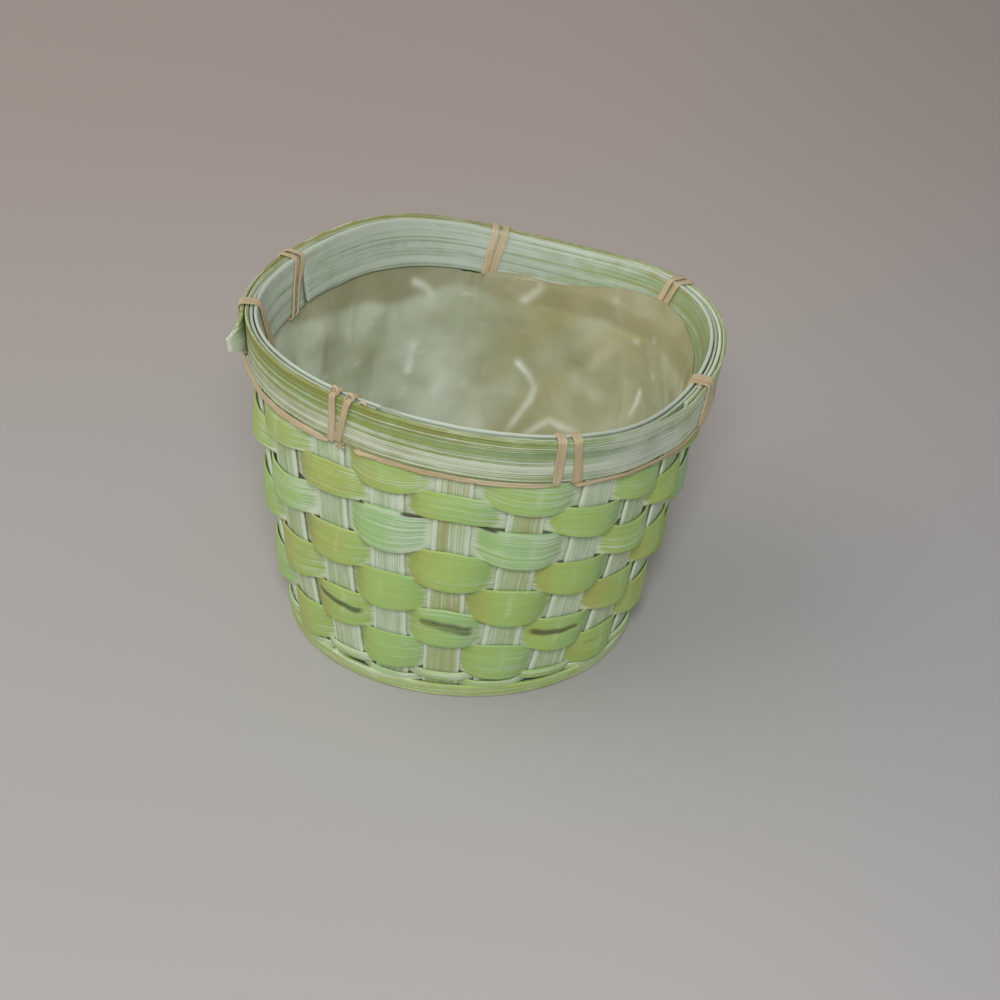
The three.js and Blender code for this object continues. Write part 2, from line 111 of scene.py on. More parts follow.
HOOP_BOTTOM = HEIGHT - HOOP_WIDTH
TOP_ROW_TOP = HOOP_BOTTOM - (STRAND_THICK + 2 * CLEAR) + CLEAR
FIRST_FOOT_WEAVER = FOOT_HOOP_WIDTH + CLEAR
FOOT_TOP = FIRST_FOOT_WEAVER + FOOT_WEAVERS * (FOOT_WEAVER_WIDTH + CLEAR)
FULL_ROWS = ROWS - NARROW_ROWS
ROW_PITCH = (TOP_ROW_TOP - FOOT_TOP) / (FULL_ROWS + NARROW_ROWS * NARROW_ROW_SHARE)
UPRIGHT_FACE = UPRIGHT_THICK / 2
REACH = UPRIGHT_FACE + CLEAR + WEAVER_THICK / 2
WEAVER_INNER = -(REACH + INNER_BULGE + WEAVER_THICK / 2)
LINER_OFFSET = WEAVER_INNER - CLEAR - LINER_THICK / 2
OUTER_OFFSET = UPRIGHT_FACE + CLEAR + OUTER_THICK / 2
INNER_OFFSET = LINER_OFFSET - LINER_THICK / 2 - CLEAR - INNER_THICK / 2
INNER_LEAN = -(UPRIGHT_FACE + CLEAR + INNER_THICK / 2) - INNER_OFFSET
LINER_LEAN = -(UPRIGHT_FACE + CLEAR + LINER_THICK / 2) - LINER_OFFSET
LAYER_STEP = OUTER_THICK + CLEAR
FILLER_TOP = HEIGHT - FILLER_DROP
UPRIGHT_TOP = FILLER_TOP - FILLER_HEIGHT - CLEAR
LOW_LEVEL = UPRIGHT_THICK / 2
HIGH_LEVEL = LOW_LEVEL + UPRIGHT_THICK + CLEAR
LINER_FLOOR = HIGH_LEVEL + UPRIGHT_THICK / 2 + CLEAR + LINER_THICK / 2

# Half the thickness of the visible weavers, which are thinner than the solids because they bulge
WEAVER_HALF = 0.3
# The gap between a row's ends, in upright places
ROW_SEAM = 0.08
# How sharply a strip turns where it passes from one side of its neighbours to the other
WEAVE_STEEP = 1.5
BOTTOM_STEEP = 2.4
# The step along an upright strip, and how near its straight parts come to the bend at the foot
UPRIGHT_STEP = 0.8
BEND_LEVEL, BEND_REACH = 3.2, 2.2

# Seeds: one for the values of the crowns, and the first one of each kind of piece for the noise
CROWN_SEED = 41
ROW_SEED = 100
OUTER_SEED, INNER_SEED, FILLER_SEED, FOOT_SEED = 21, 22, 23, 25
UPRIGHT_SEED = 500
STRAND_SEED = 700
FILM_SEED = 900
CREASE_SEED = 950

# How far apart the pieces of a kind lie in the bamboo's pattern, along and across their strips
ROW_SHIFT = (311, 37)
UPRIGHT_SHIFT = (177, 23)
HOOP_SHIFT = (97, 41)
STRAND_SHIFT = (61, 13)


# Maths

def upright_angle(upright):
    """The angle round the basket of an upright, or of a place between two."""
    return FIRST_ANGLE + np.asarray(upright, float) * PITCH


def rim_length(place):
    """How far round the rim a place lies, where places count the uprights."""
    return place * PITCH * RIM_RADIUS


def rim_places(length):
    """A length along the rim, in upright places."""
    return length / RIM_RADIUS / PITCH


def bellied(foot, rim, rise):
    """The wall's radius part of the way up, a little rounder than a plain cone."""
    return foot + (rim - foot) * rise + 4 * BELLY * rise * (1 - rise)


def waved(value, waves, angle):
    """A value with waves round the basket added."""
    for count, height, crest in waves:
        value = value + height * np.cos(count * (angle - math.radians(crest)))
    return value


def wall(angle, level, offset):
    """Points near the wall: angle, height before the rim tilts, and distance outside the wall."""
    angle, level, offset = np.broadcast_arrays(*(np.asarray(value, float) for value in (angle, level, offset)))
    rise = level / HEIGHT
    radius = bellied(waved(FOOT_RADIUS, FOOT_WAVES, angle), waved(RIM_RADIUS, RIM_WAVES, angle), rise) + offset
    right = radius * np.sin(angle)
    back = -radius * np.cos(angle)
    lift = waved(RIM_TILT_RIGHT * right + RIM_TILT_BACK * back, LEVEL_WAVES, angle)
    return np.stack([right + RIM_LEAN_RIGHT * rise, back + RIM_LEAN_BACK * rise, level + lift * rise], -1)


def wall_radius(level):
    """The wall's mean radius at a height."""
    return bellied(FOOT_RADIUS, RIM_RADIUS, np.asarray(level, float) / HEIGHT)


def row_edge(row):
    """The height of the edge below a row, where row 0 stands for the edge above the first."""
    return FOOT_TOP + (min(ROWS - row, FULL_ROWS) + max(NARROW_ROWS - row, 0) * NARROW_ROW_SHARE) * ROW_PITCH


def eased(t):
    """A share from 0 to 1 with a soft start and end."""
    return t * t * (3 - 2 * t)


def smooth(low, high, value):
    """A soft step from 0 at low to 1 at high, where high may also be the lesser."""
    return eased(np.clip((np.asarray(value, float) - low) / (high - low), 0, 1))


def between(start, full, fall, end, value):
    """A soft plateau: 0 up to start, 1 from full to fall, and 0 again from end."""
    return smooth(start, full, value) * (1 - smooth(fall, end, value))


def around(u):
    """Upright places turned to lie within half a round of the front."""
    return (np.asarray(u, float) + UPRIGHTS / 2) % UPRIGHTS - UPRIGHTS / 2


def unit(vectors):
    """Vectors brought to length 1."""
    return vectors / np.maximum(np.linalg.norm(vectors, axis=-1, keepdims=True), 1e-9)


def square_to(way, vectors):
    """Unit vectors turned square to the ways beside them."""
    return unit(vectors - way * (vectors * way).sum(-1, keepdims=True))


def layers(*values):
    """Values brought to one shape and stacked along a last axis."""
    return np.stack(np.broadcast_arrays(*values), -1)


def run_along(points):
    """How far each point lies from the first, along the line through them."""
    return np.concatenate([[0], np.cumsum(np.linalg.norm(np.diff(points, axis=0), axis=1))])


def smoothed(points, passes):
    """Points along an open line, rounded off, with the ends kept."""
    points = points.copy()
    for _ in range(passes):
        points[1:-1] = 0.5 * points[1:-1] + 0.25 * (points[:-2] + points[2:])
    return points


def ring_mean(values, reach):
    """The mean of each value and its neighbours up to reach places away, round a closed ring."""
    size = 2 * reach + 1
    return np.convolve(np.concatenate([values[-reach:], values, values[:reach]]), np.ones(size) / size, "valid")


class Noise:
    """Smooth seeded noise along one line or over a plane, from -1 to 1."""

    SIZE = 4096
    STEP_X, STEP_Y = 57, 131

    def __init__(self, seed):
        self.table = np.random.default_rng(seed).uniform(-1, 1, self.SIZE)

    def at(self, cell):
        return self.table[cell % self.SIZE]

    def line(self, x):
        x = np.asarray(x, float)
        cell = np.floor(x).astype(int)
        t = eased(x - cell)
        return self.at(cell) * (1 - t) + self.at(cell + 1) * t

    def plane(self, x, y):
        x, y = np.broadcast_arrays(np.asarray(x, float), np.asarray(y, float))
        cell_x, cell_y = np.floor(x).astype(int), np.floor(y).astype(int)
        tx, ty = eased(x - cell_x), eased(y - cell_y)
        low = cell_x * self.STEP_X + cell_y * self.STEP_Y
        high = low + self.STEP_Y
        low = self.at(low) * (1 - tx) + self.at(low + self.STEP_X) * tx
        high = self.at(high) * (1 - tx) + self.at(high + self.STEP_X) * tx
        return low * (1 - ty) + high * ty


# Meshes

def profile(across):
    """A closed section of a strip with rounded edges: v runs across and w through it, both from -1 to 1."""
    face = np.linspace(-0.93, 0.93, across)
    edge = [(0.975, 0.8), (1.0, 0.0), (0.975, -0.8)]
    points = [(v, 1.0) for v in face] + edge
    points += [(v, -1.0) for v in face[::-1]] + [(-v, -w) for v, w in edge]
    return np.array(points).T


def quads(count, size):
    """The four-sided faces between rings of matching points."""
    ring = np.arange(count - 1)[:, None] * size
    corner = np.arange(size)
    beside = (corner + 1) % size
    return layers(ring + corner, ring + size + corner, ring + size + beside, ring + beside).reshape(-1, 4)


def outward(points, faces):
    """Turns the faces of a closed solid outwards."""
    tri = np.array([[f[0], f[i], f[i + 1]] for f in faces for i in range(1, len(f) - 1)])
    a, b, c = points[tri[:, 0]], points[tri[:, 1]], points[tri[:, 2]]
    volume = np.einsum("ij,ij->i", a, np.cross(b, c)).sum()
    return faces if volume > 0 else [f[::-1] for f in faces]


def ribbon(line, side, facing, across, out):
    """Rings of points beside a line: across and out are each point's distances along side and facing."""
    return line[:, None] + side[:, None] * across[..., None] + facing[:, None] * out[..., None]


def strip_place(along, across, side, number, shift):
    """Where points lie in the bamboo's pattern, with each numbered piece in a part of its own."""
    return layers(along + shift[0] * number, across + shift[1] * number, side)


def swept(rings, strip, look):
    """A solid part through rings, with caps on its ends.

    Its strip places are (along, across, side), and its looks are (wash, tint, dark, light): dark marks real
    stains and painted shade, and light a painted highlight.
    """
    count, size = rings.shape[:2]
    caps = [list(range(size)), list(range((count - 1) * size, count * size))[::-1]]
    points = rings.reshape(-1, 3)
    return points, outward(points, quads(count, size).tolist() + caps), strip.reshape(-1, 3), look.reshape(-1, 4)


def linked(name, data):
    """A new object that is linked to the scene."""
    new = bpy.data.objects.new(name, data)
    bpy.context.scene.collection.objects.link(new)
    return new


def make(node, parts, material):
    """One piece from several (points, faces, strip, look) parts, which stands for a CAD node."""
    points, part_faces, strips, looks = zip(*parts)
    starts = np.cumsum([0] + [len(part) for part in points]).tolist()
    faces = [[start + i for i in face] for start, own in zip(starts, part_faces) for face in own]
    mesh = bpy.data.meshes.new(node + "_look")
    mesh.from_pydata((np.concatenate(points) * MM).tolist(), [], faces)
    mesh.polygons.foreach_set("use_smooth", [True] * len(mesh.polygons))
    for name, kind, field, values in (
            ("strip", "FLOAT_VECTOR", "vector", strips), ("look", "FLOAT_COLOR", "color", looks)):
        attribute = mesh.attributes.new(name, kind, "POINT")
        attribute.data.foreach_set(field, np.concatenate(values).astype(np.float32).ravel())
    mesh.materials.append(material)
    mesh.update()
    piece = linked(node + "_look", mesh)
    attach(piece, "root")
    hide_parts(node)
    return piece


# Materials

def linear(red, green, blue):
    """A colour written as 0 to 255 sRGB, as Blender's linear values."""
    def one(c):
        c /= 255
        return c / 12.92 if c <= 0.04045 else ((c + 0.055) / 1.055) ** 2.4
    return (one(red), one(green), one(blue), 1.0)


class Nodes:
    """A new material, with short names for making its shader nodes."""

    def __init__(self, name):
        self.material = bpy.data.materials.new(name)
        self.material.use_nodes = True
        self.tree = self.material.node_tree
        self.tree.nodes.clear()
        self.shader = self.add("BsdfPrincipled", {})
        self.add("OutputMaterial", {"Surface": self.shader.outputs[0]})

    def fill(self, node, values):
        """Gives inputs of a node, by name or number, a value or another node's output."""
        for key, value in values.items():
            if isinstance(value, bpy.types.NodeSocket):
                self.tree.links.new(value, node.inputs[key])
            else:
                node.inputs[key].default_value = value

    def add(self, kind, values, **settings):
        node = self.tree.nodes.new("ShaderNode" + kind)
        for name, setting in settings.items():
            setattr(node, name, setting)
        self.fill(node, values)
        return node

    def surface(self, colour, roughness, gloss):
        self.fill(self.shader, {"Base Color": colour, "Roughness": roughness, "Specular IOR Level": gloss})

    def attributes(self):
        """A point's place in its strip, and the four channels of its look."""
        strip = self.add("Attribute", {}, attribute_name="strip").outputs["Vector"]
        look = self.add("Attribute", {}, attribute_name="look").outputs
        parts = self.add("SeparateColor", {0: look["Color"]}).outputs
        return strip, (parts[0], parts[1], parts[2], look["Alpha"])

    def math(self, operation, a, b, clamp=False):
        return self.add("Math", {0: a, 1: b}, operation=operation, use_clamp=clamp).outputs[0]

    def plus(self, a, b, clamp=False):
        return self.math("ADD", a, b, clamp)

    def times(self, a, b, clamp=False):
        return self.math("MULTIPLY", a, b, clamp)

    def swing(self, noise, amount):
        """How far noise lies from its middle, times an amount."""
        return self.times(self.math("SUBTRACT", noise, 0.5), amount)

    def noise(self, vector, scale, shift, detail, roughness, distortion=0.0):
        """Noise over a vector that is scaled and shifted first."""
        scaled = self.add("VectorMath", {0: vector, 1: scale, 2: shift}, operation="MULTIPLY_ADD").outputs[0]
        return self.add("TexNoise", {
            "Vector": scaled, "Scale": 1.0, "Detail": detail, "Roughness": roughness, "Distortion": distortion
        }).outputs[0]

    def spread(self, value, low, high, to_low=0.0, to_high=1.0):
        """A soft step from to_low, where the value is low, to to_high, where it is high."""
        values = dict(enumerate((value, low, high, to_low, to_high)))
        return self.add("MapRange", values, interpolation_type="SMOOTHSTEP").outputs[0]

    def mix(self, factor, a, b, blend="MIX"):
        """A mix of two colours, which are inputs 6 and 7 of the mix node and come out at output 2."""
        return self.add("Mix", {0: factor, 6: a, 7: b}, data_type="RGBA", blend_type=blend).outputs[2]

    def ramp(self, value, colours):
        """Evenly spaced colours from value 0 to value 1."""
        node = self.add("ValToRGB", {0: value})
        elements = node.color_ramp.elements
        while len(elements) < len(colours):
            elements.new(0.5)
        for i, (element, colour) in enumerate(zip(elements, colours)):
            element.position = i / (len(colours) - 1)
            element.color = linear(*colour)
        return node.outputs[0]

    def bump(self, height, distance, strength):
        bump = self.add("Bump", {"Height": height, "Distance": distance, "Strength": strength})
        self.fill(self.shader, {"Normal": bump.outputs[0]})


def bamboo(name, tints, shades, white, stain_and_shade_colour, lines=(0.03, 5.0), wash_lines=0.9, roughness=0.55, shading=0.6):
    """Split bamboo with lengthwise fibres, a dark colour for stains and painted shade that varies from place to
    place, and a white wash over it, with a painted highlight where the light channel says.

    lines says how dense the fibres are along and across the strip, and wash_lines how ragged the wash is.
    """
    n = Nodes(name)
    strip, (wash, tint, dark, light) = n.attributes()
    along, across = lines
    broad = n.noise(strip, (along * 0.7, across * 0.28, 0.9), (0, 0, 0), 2.0, 0.55)
    fibre = n.noise(strip, (along, across, 1.7), (7, 3, 1), 3.0, 0.6)
    hair = n.noise(strip, (along * 2.2, across * 2.6, 2.3), (1, 9, 4), 2.0, 0.7)
    streak = n.noise(strip, (along * 0.6, across * 0.75, 1.3), (4, 2, 8), 1.5, 0.45)
    patch = n.noise(strip, (0.16, 0.22, 0.4), (2, 5, 3), 2.0, 0.6)

    place = n.plus(n.plus(tint, n.swing(patch, 0.5)), n.swing(broad, 0.3), clamp=True)
    shade = n.ramp(place, shades)
    colour = n.mix(n.spread(fibre, 0.62, 0.36, 0.0, shading), n.ramp(place, tints), shade)
    colour = n.mix(n.spread(hair, 0.56, 0.35, 0.0, shading * 0.4), colour, shade)

    ragged = n.plus(n.plus(n.swing(streak, wash_lines * 1.6), n.swing(hair, wash_lines)), n.swing(patch, 0.35))
    cover = n.spread(n.plus(wash, ragged), 0.34, 0.78)
    colour = n.mix(n.times(cover, 0.94), colour, linear(*white))
    # A painted highlight, where the light channel says.
    colour = n.mix(n.times(light, 0.45), colour, linear(*(channel + 22 for channel in white)))

    # The dark colour: real stains on the uprights, painted shade at the rows' slits and splits.
    stain_and_shade = n.plus(dark, n.swing(fibre, n.times(dark, 1.3)))
    colour = n.mix(n.spread(stain_and_shade, 0.1, 0.95), colour, linear(*stain_and_shade_colour))
    n.surface(colour, n.plus(roughness - 0.1, n.times(cover, 0.22)), 0.4)
    height = n.plus(n.plus(n.times(fibre, 0.6), n.times(hair, 0.4)), n.times(cover, 0.15))
    n.bump(height, 0.0003, 0.5)
    return n.material


GREENS = [(168, 172, 96), (164, 188, 104), (156, 192, 118), (152, 188, 142)]
GREEN_SHADES = [(144, 148, 74), (138, 168, 82), (128, 168, 96), (128, 166, 120)]
# The rows' dark colour is painted shade, at their slits and splits.
weaver_look = bamboo("weaver_bamboo", GREENS, GREEN_SHADES, (206, 216, 192), (66, 62, 42), shading=0.42)
upright_look = bamboo(
    "upright_bamboo",
    [(166, 158, 108), (168, 180, 124), (166, 190, 144), (166, 192, 158)],
    [(146, 134, 90), (148, 162, 102), (146, 172, 120), (148, 174, 138)],
    (206, 216, 196), (112, 98, 60), lines=(0.035, 4.6), wash_lines=0.75, roughness=0.6, shading=0.5)
rim_look = bamboo(
    "rim_bamboo",
    [(142, 146, 76), (142, 160, 90), (136, 162, 112), (140, 160, 134)],
    [(106, 112, 48), (106, 128, 58), (98, 128, 74), (108, 132, 104)],
    (204, 212, 192), (84, 76, 44), lines=(0.012, 4.2), wash_lines=1.0, shading=0.6)
inner_look = bamboo(
    "inner_bamboo",
    [(146, 150, 98), (146, 162, 116), (148, 166, 140), (152, 168, 154)],
    [(118, 124, 76), (112, 138, 86), (120, 142, 110), (126, 146, 128)],
    (186, 196, 182), (92, 86, 58), lines=(0.02, 2.0), wash_lines=0.6, roughness=0.65, shading=0.45)
tie_look = bamboo(
    "tie_strand",
    [(180, 159, 122), (189, 170, 134), (196, 180, 148), (193, 178, 152)],
    [(151, 131, 98), (162, 143, 109), (170, 153, 123), (167, 151, 127)],
    (214, 204, 182), (104, 78, 50), lines=(0.06, 5.5), wash_lines=0.5, roughness=0.62, shading=0.6)


def film_material():
    """Clear film that is crumpled and milky: half see-through, glossy, with painted highlights along creases,
    painted shade in folds and a painted shadow below the inner hoop.
    """
    n = Nodes("liner_film")
    strip, (crease, warm, hoop_shadow, fold_shade) = n.attributes()
    haze = n.noise(strip, (0.045, 0.06, 0.05), (0, 0, 0), 2.0, 0.5)
    fine = n.noise(strip, (0.12, 0.1, 0.12), (3, 1, 2), 2.0, 0.5, 0.6)
    colour = n.mix(n.spread(haze, 0.3, 0.7), linear(196, 204, 180), linear(212, 222, 202))
    # Mixed in: warm khaki, a painted shadow below the inner hoop, painted shade in folds and painted highlights
    # along creases.
    for amount, share, own in (
            (warm, 0.85, (170, 162, 114)), (hoop_shadow, 0.72, (138, 132, 92)), (fold_shade, 0.5, (146, 146, 112)),
            (crease, 0.9, (236, 240, 230))):
        colour = n.mix(n.times(amount, share, clamp=True), colour, linear(*own))
    n.surface(colour, 0.28, 0.6)
    alpha = n.spread(haze, 0.3, 0.7, 0.66, 0.82)
    for amount, share in ((crease, 0.3), (warm, 0.14), (hoop_shadow, 0.14)):
        alpha = n.plus(alpha, n.times(amount, share), clamp=True)
    n.fill(n.shader, {"Alpha": alpha})
    n.bump(n.plus(fine, n.times(crease, 0.5)), 0.0012, 0.35)
    return n.material


film_look = film_material()


# Weave

rng = np.random.default_rng(CROWN_SEED)

# The rows' tints, as places from 0 to 1 in the bamboo's colours, and their amounts of white wash.
# Rows 8 and 9 are the narrow ones above the foot.
ROW_TINT = {1: 0.48, 2: 0.44, 3: 0.8, 4: 0.42, 5: 0.42, 6: 0.46, 7: 0.5, 8: 0.66, 9: 0.6}
ROW_WASH = {1: 0.26, 2: 0.22, 3: 0.34, 4: 0.16, 5: 0.16, 6: 0.2, 7: 0.2, 8: 0.5, 9: 0.46}

# The ranges of the crowns' seeded values, in the order in which they are drawn
CROWN_RANGES = {
    "bulge": (0.85, 1.1), "drop": (-0.2, 0.4), "rise": (-0.2, 0.3), "tint": (-0.14, 0.14), "wash": (-0.06, 0.08),
    "crease": (-0.1, 0.16), "crease_highlight": (0.0, 0.6),
}

# Upright places round the front, and how far the rows lie above level there
ARCH_PLACES = [-7, -3, -2, -1, 0, 1, 2, 3, 7]
ARCH_HEIGHTS = [0, -1.4, 0.9, 1.5, 2.2, 0.8, -0.9, -1.7, 0]

# Crowns that the photograph shows with something of their own
CROWNS = {
    (1, -3): dict(drop=0.5, tint=0.3),
    (1, -1): dict(drop=1.9, tint=0.36),
    (1, 1): dict(drop=1.9, tint=0.6, wash=0.32),
    (1, 3): dict(drop=0.4),
    (2, -2): dict(rise=0.6, drop=-0.6, tint=0.26),
    (2, 0): dict(rise=0.7, drop=-1.9, bulge=0.6, wash=0.26, tint=0.5),
    (2, 2): dict(rise=-0.2, drop=0.6, tint=0.56),
    (3, -3): dict(rise=-1.6, drop=-0.5, tint=0.6),
    (3, -1): dict(rise=0.7, drop=1.0, bulge=1.1, wash=0.38),
    (3, 1): dict(rise=-0.4, drop=0.6, bulge=1.1),
    (3, 3): dict(rise=-2.0, drop=0.2, tint=0.5),
    (4, -2): dict(tint=0.26),
    (4, 0): dict(rise=0.8, drop=0.5, tint=0.4),
    (4, 2): dict(rise=-0.3, drop=0.1, tint=0.42),
    # Painted shade on this crown at the left side of the basket.
    (5, -3): dict(tint=0.2, dark=0.04),
    (5, -1): dict(rise=1.1, drop=-0.2, tint=0.4),
    (5, 1): dict(rise=0.6, drop=0.2, tint=0.4),
    (6, -2): dict(rise=0.2, drop=0.4, tint=0.26),
    (6, 0): dict(rise=1.8, drop=-0.3, tint=0.6, wash=0.3),
    (6, 2): dict(rise=0.4, drop=0.4, tint=0.5),
    (7, -3): dict(tint=0.26),
    (7, -1): dict(rise=0.4, drop=0.2, tint=0.55),
    (7, 1): dict(rise=1.0, drop=0.4, tint=0.6),
    (7, 3): dict(rise=1.2, drop=-0.2, tint=0.44),
}

# Splits along a crown: row, upright, start and end, each in upright widths and height in the strip, then the
# half height at each, the depth and the darkness of the painted shade along the split
SPLITS = [
    (6, 0, -0.5, 0.36, 0.56, -0.04, 0.24, 0.44, 0.1, 0.6),
    (6, 0, -0.3, 0.3, 0.52, 0.12, 0.09, 0.14, 0.08, 0.72),
    (6, 2, -0.62, 0.14, 0.4, 0.3, 0.3, 0.14, 0.12, 0.68),
    (6, -2, -0.6, 0.5, 0.56, -0.1, 0.16, 0.26, 0.14, 0.72),
    (7, 3, -0.42, 0.2, 0.3, 0.38, 0.12, 0.06, 0.08, 0.35),
]

# Painted shade under a row's lower edge, on the top edge of the row below, where dark slits open: row, and from
# and to in upright units
SHADED_SLITS = [(2, -1.76, -1.34), (2, -0.76, -0.36), (2, 0.24, 0.66)]


def crown_values(row):
    """Seeded values of each crown of a row, at the index of its upright."""
    values = {key: rng.uniform(low, high, UPRIGHTS) for key, (low, high) in CROWN_RANGES.items()}
    values["tint"] += ROW_TINT[row]
    values["wash"] += ROW_WASH[row]
    values["crease_highlight"] **= 1.5
    values["dark"] = np.zeros(UPRIGHTS)
    for (crown_row, upright), own in CROWNS.items():
        if crown_row == row:
            for key, value in own.items():
                values[key][upright % UPRIGHTS] = value
    return values


def row_splits(row, t, index, v, noise):
    """How deep the splits of a row are at each point of its outer face, and how dark the painted shade along them
    is.
    """
    depth = dark = np.zeros(np.broadcast(t, v).shape)
    for split_row, upright, start, from_height, end, to_height, from_size, to_size, own_depth, own_dark in SPLITS:
        if split_row != row:
            continue
        part = (t - start) / (end - start)
        taper = between(-0.02, 0.14, 0.86, 1.02, part)
        centre = from_height + (to_height - from_height) * part + 0.05 * noise.line(t * 6 + 9)
        size = (from_size + (to_size - from_size) * np.clip(part, 0, 1)) * (0.5 + 0.5 * taper)
        amount = (index == upright % UPRIGHTS) * taper * (1 - smooth(0.3, 1.3, np.abs(v - centre) / size))
        depth = depth + own_depth * amount
        dark = np.maximum(dark, own_dark * amount)
    return depth, dark


def row_tones(row, own, u, t, v, w, split_shade, noise):
    """The looks of a row: green crowns, with more white wash on the outer face where they turn in, painted shade
    at slits and splits, and a painted highlight along each crown's crease.
    """
    reach = np.abs(t)
    floor_line = -1.1 + 1.15 * (reach / 0.7) ** 3.4
    roof_line = 1.08 - 0.45 * (reach / 0.7) ** 3.4
    turned_in = np.maximum(smooth(-0.08, 0.5, floor_line - v), smooth(-0.08, 0.45, v - roof_line))
    turned_in = np.maximum(turned_in, smooth(0.56, 0.72, reach)) * (w > -0.5)
    wash = own["wash"] + 0.16 * smooth(0.05, 0.55, t) * (1 - turned_in) + 0.62 * turned_in
    tint = own["tint"] - 0.2 * smooth(0.1, -0.55, t) + 0.12 * smooth(0, 0.55, t) + 0.08 * noise.line(u * 2.3)
    dark = np.maximum(split_shade, own["dark"])
    # Painted shade on this row's top edge, under the slits of the row above.
    for slit_row, start, end in SHADED_SLITS:
        if slit_row == row - 1:
            for place in (u, u - UPRIGHTS):
                near = between(start - 0.05, start + 0.08, end - 0.08, end + 0.05, place)
                dark = np.maximum(dark, near * smooth(0.8, 0.9, v))
    # A painted highlight along the crease where the strip bends over its upright.
    bent = t - own["crease"] - 0.03 * v - 0.02 * noise.line(v * 5 + 7)
    light = np.exp(-(bent / 0.045) ** 2) * own["crease_highlight"]
    light = light * (1 - smooth(0.25, 0.95, np.abs(v - 0.15))) * (row <= ROWS)
    return layers(wash, tint, dark, light)


def woven_row(name, row, bottom, top, parity, bulge, growth, across=24, steps=26, arch=1.0):
    """One woven row: it passes outside the uprights of its parity and inside the others.

    u is a point's place round the wall, t its place on its crown, and own has its crown's values.
    The row's ends meet behind an upright at the back.
    """
    u = (9 + parity + ROW_SEAM / 2 + np.linspace(0, UPRIGHTS - ROW_SEAM, UPRIGHTS * steps + 1))[:, None]
    crown = 2 * np.round((u - parity) / 2) + parity
    t = u - crown
    index = crown.astype(int) % UPRIGHTS
    own = {key: value[index] for key, value in crown_values(row).items()}
    v, w = profile(across)
    noise = Noise(ROW_SEED + row)

    over = np.tanh(WEAVE_STEEP * np.cos(math.pi * t)) / math.tanh(WEAVE_STEEP)
    hump = np.clip(1 - (np.abs(t) / 0.66) ** 2.0, 0, 1)
    ridge = np.clip(1 - np.sqrt((t - own["crease"]) ** 2 + 0.04 ** 2) / 0.62, 0, 1)
    swell = 0.75 * hump + 0.25 * ridge
    behind = np.clip(-over, 0, 1) ** 0.8
    wider = behind * (row <= ROWS)
    middle, half = (bottom + top) / 2, (top - bottom) / 2
    shift = arch * np.interp(around(u), ARCH_PLACES, ARCH_HEIGHTS) + 0.16 * noise.line(u * 0.9)
    low = middle - half - hump * (growth + own["drop"]) - 0.8 * wider + 0.07 * noise.line(u * 14)
    high = middle + half + hump * (growth * 0.5 + own["rise"]) + 0.4 * wider + 0.07 * noise.line(u * 15 + 400)
    level = shift + low + (high - low) * (v + 1) / 2

    crowned = bulge * own["bulge"] * swell * ((1 - v) / 2) ** 1.2 + 0.3 * swell * (1 - v ** 2)
    under = behind ** 3 * INNER_BULGE * (1 - v ** 2)
    corner = smooth(0.3, 0.62, np.abs(t)) * np.clip(over, 0, 1)
    depth, dark = row_splits(row, t, index, v, noise)
    offset = REACH * over + crowned - under - 0.35 * corner * np.abs(v) ** 3
    offset = offset + w * WEAVER_HALF * np.where(np.abs(v) > 0.95, 0.8, 1.0) - depth * (w > 0.5)
    rings = wall(upright_angle(u), level, offset)
    strip = strip_place(u * PITCH * wall_radius(middle), v * half, w, row, ROW_SHIFT)
    look = row_tones(row, own, u, t, v, w, dark * (w > 0.5), noise)
    make(name, [swept(rings, strip, look)], weaver_look)


for row in range(1, ROWS + 1):
    row_top, row_bottom = row_edge(row - 1), row_edge(row)
    woven_row(
        f"weaver_row_{row}", row, row_bottom + 0.08, row_top - 0.08, row % 2,
        TOP_CROWN_BULGE if row == 1 else CROWN_BULGE, CLEAR if row == 1 else CROWN_GROWTH)

for number, name in enumerate(("foot_weaver_lower", "foot_weaver_upper")):
    row_bottom = FIRST_FOOT_WEAVER + number * (FOOT_WEAVER_WIDTH + CLEAR)
    woven_row(
        name, ROWS + 1 + number, row_bottom - 0.3, row_bottom + FOOT_WEAVER_WIDTH + 0.3 + 0.4 * number,
        1 - number, 0.3, 0.1, across=8, steps=16, arch=0.35 * number)


# Uprights

# Stains on the uprights: upright, levels from and to, across from and to, kind and amount
STAINS = [
    (0, 56, 70, -0.75, -0.1, "dark", 0.3),
    (0, 34, 46, -0.95, 0.95, "brown", 0.26),
    (1, 42, 55, -0.8, 0.8, "brown", 0.12),
    (1, 64, 75, -0.6, 0.9, "brown", 0.16),
    (0, 77, 85, -0.9, 0.9, "brown", 0.12),
    (-1, 30, 72, -0.9, 0.9, "pale", -0.2),
    (0, 9, 23, -0.9, 0.9, "brown", 0.14),
]


def crossing_level(place, index, across_way):
    """How high a strip lies under the basket, where it passes over and under the strips of the other way."""
    step = np.arcsin(np.clip(place / FOOT_RADIUS, -1, 1)) / PITCH
    low = np.cos(math.pi * (step + index)) * (-1 if across_way else 1)
    swing = np.tanh(BOTTOM_STEEP * low) / math.tanh(BOTTOM_STEEP)
    return (LOW_LEVEL + HIGH_LEVEL) / 2 - (HIGH_LEVEL - LOW_LEVEL) / 2 * swing


def wall_side(upright, levels):
    """The way across an upright, at points on the wall."""
    angle = upright_angle(upright)
    return unit(wall(angle + 0.01, levels, 0) - wall(angle - 0.01, levels, 0))


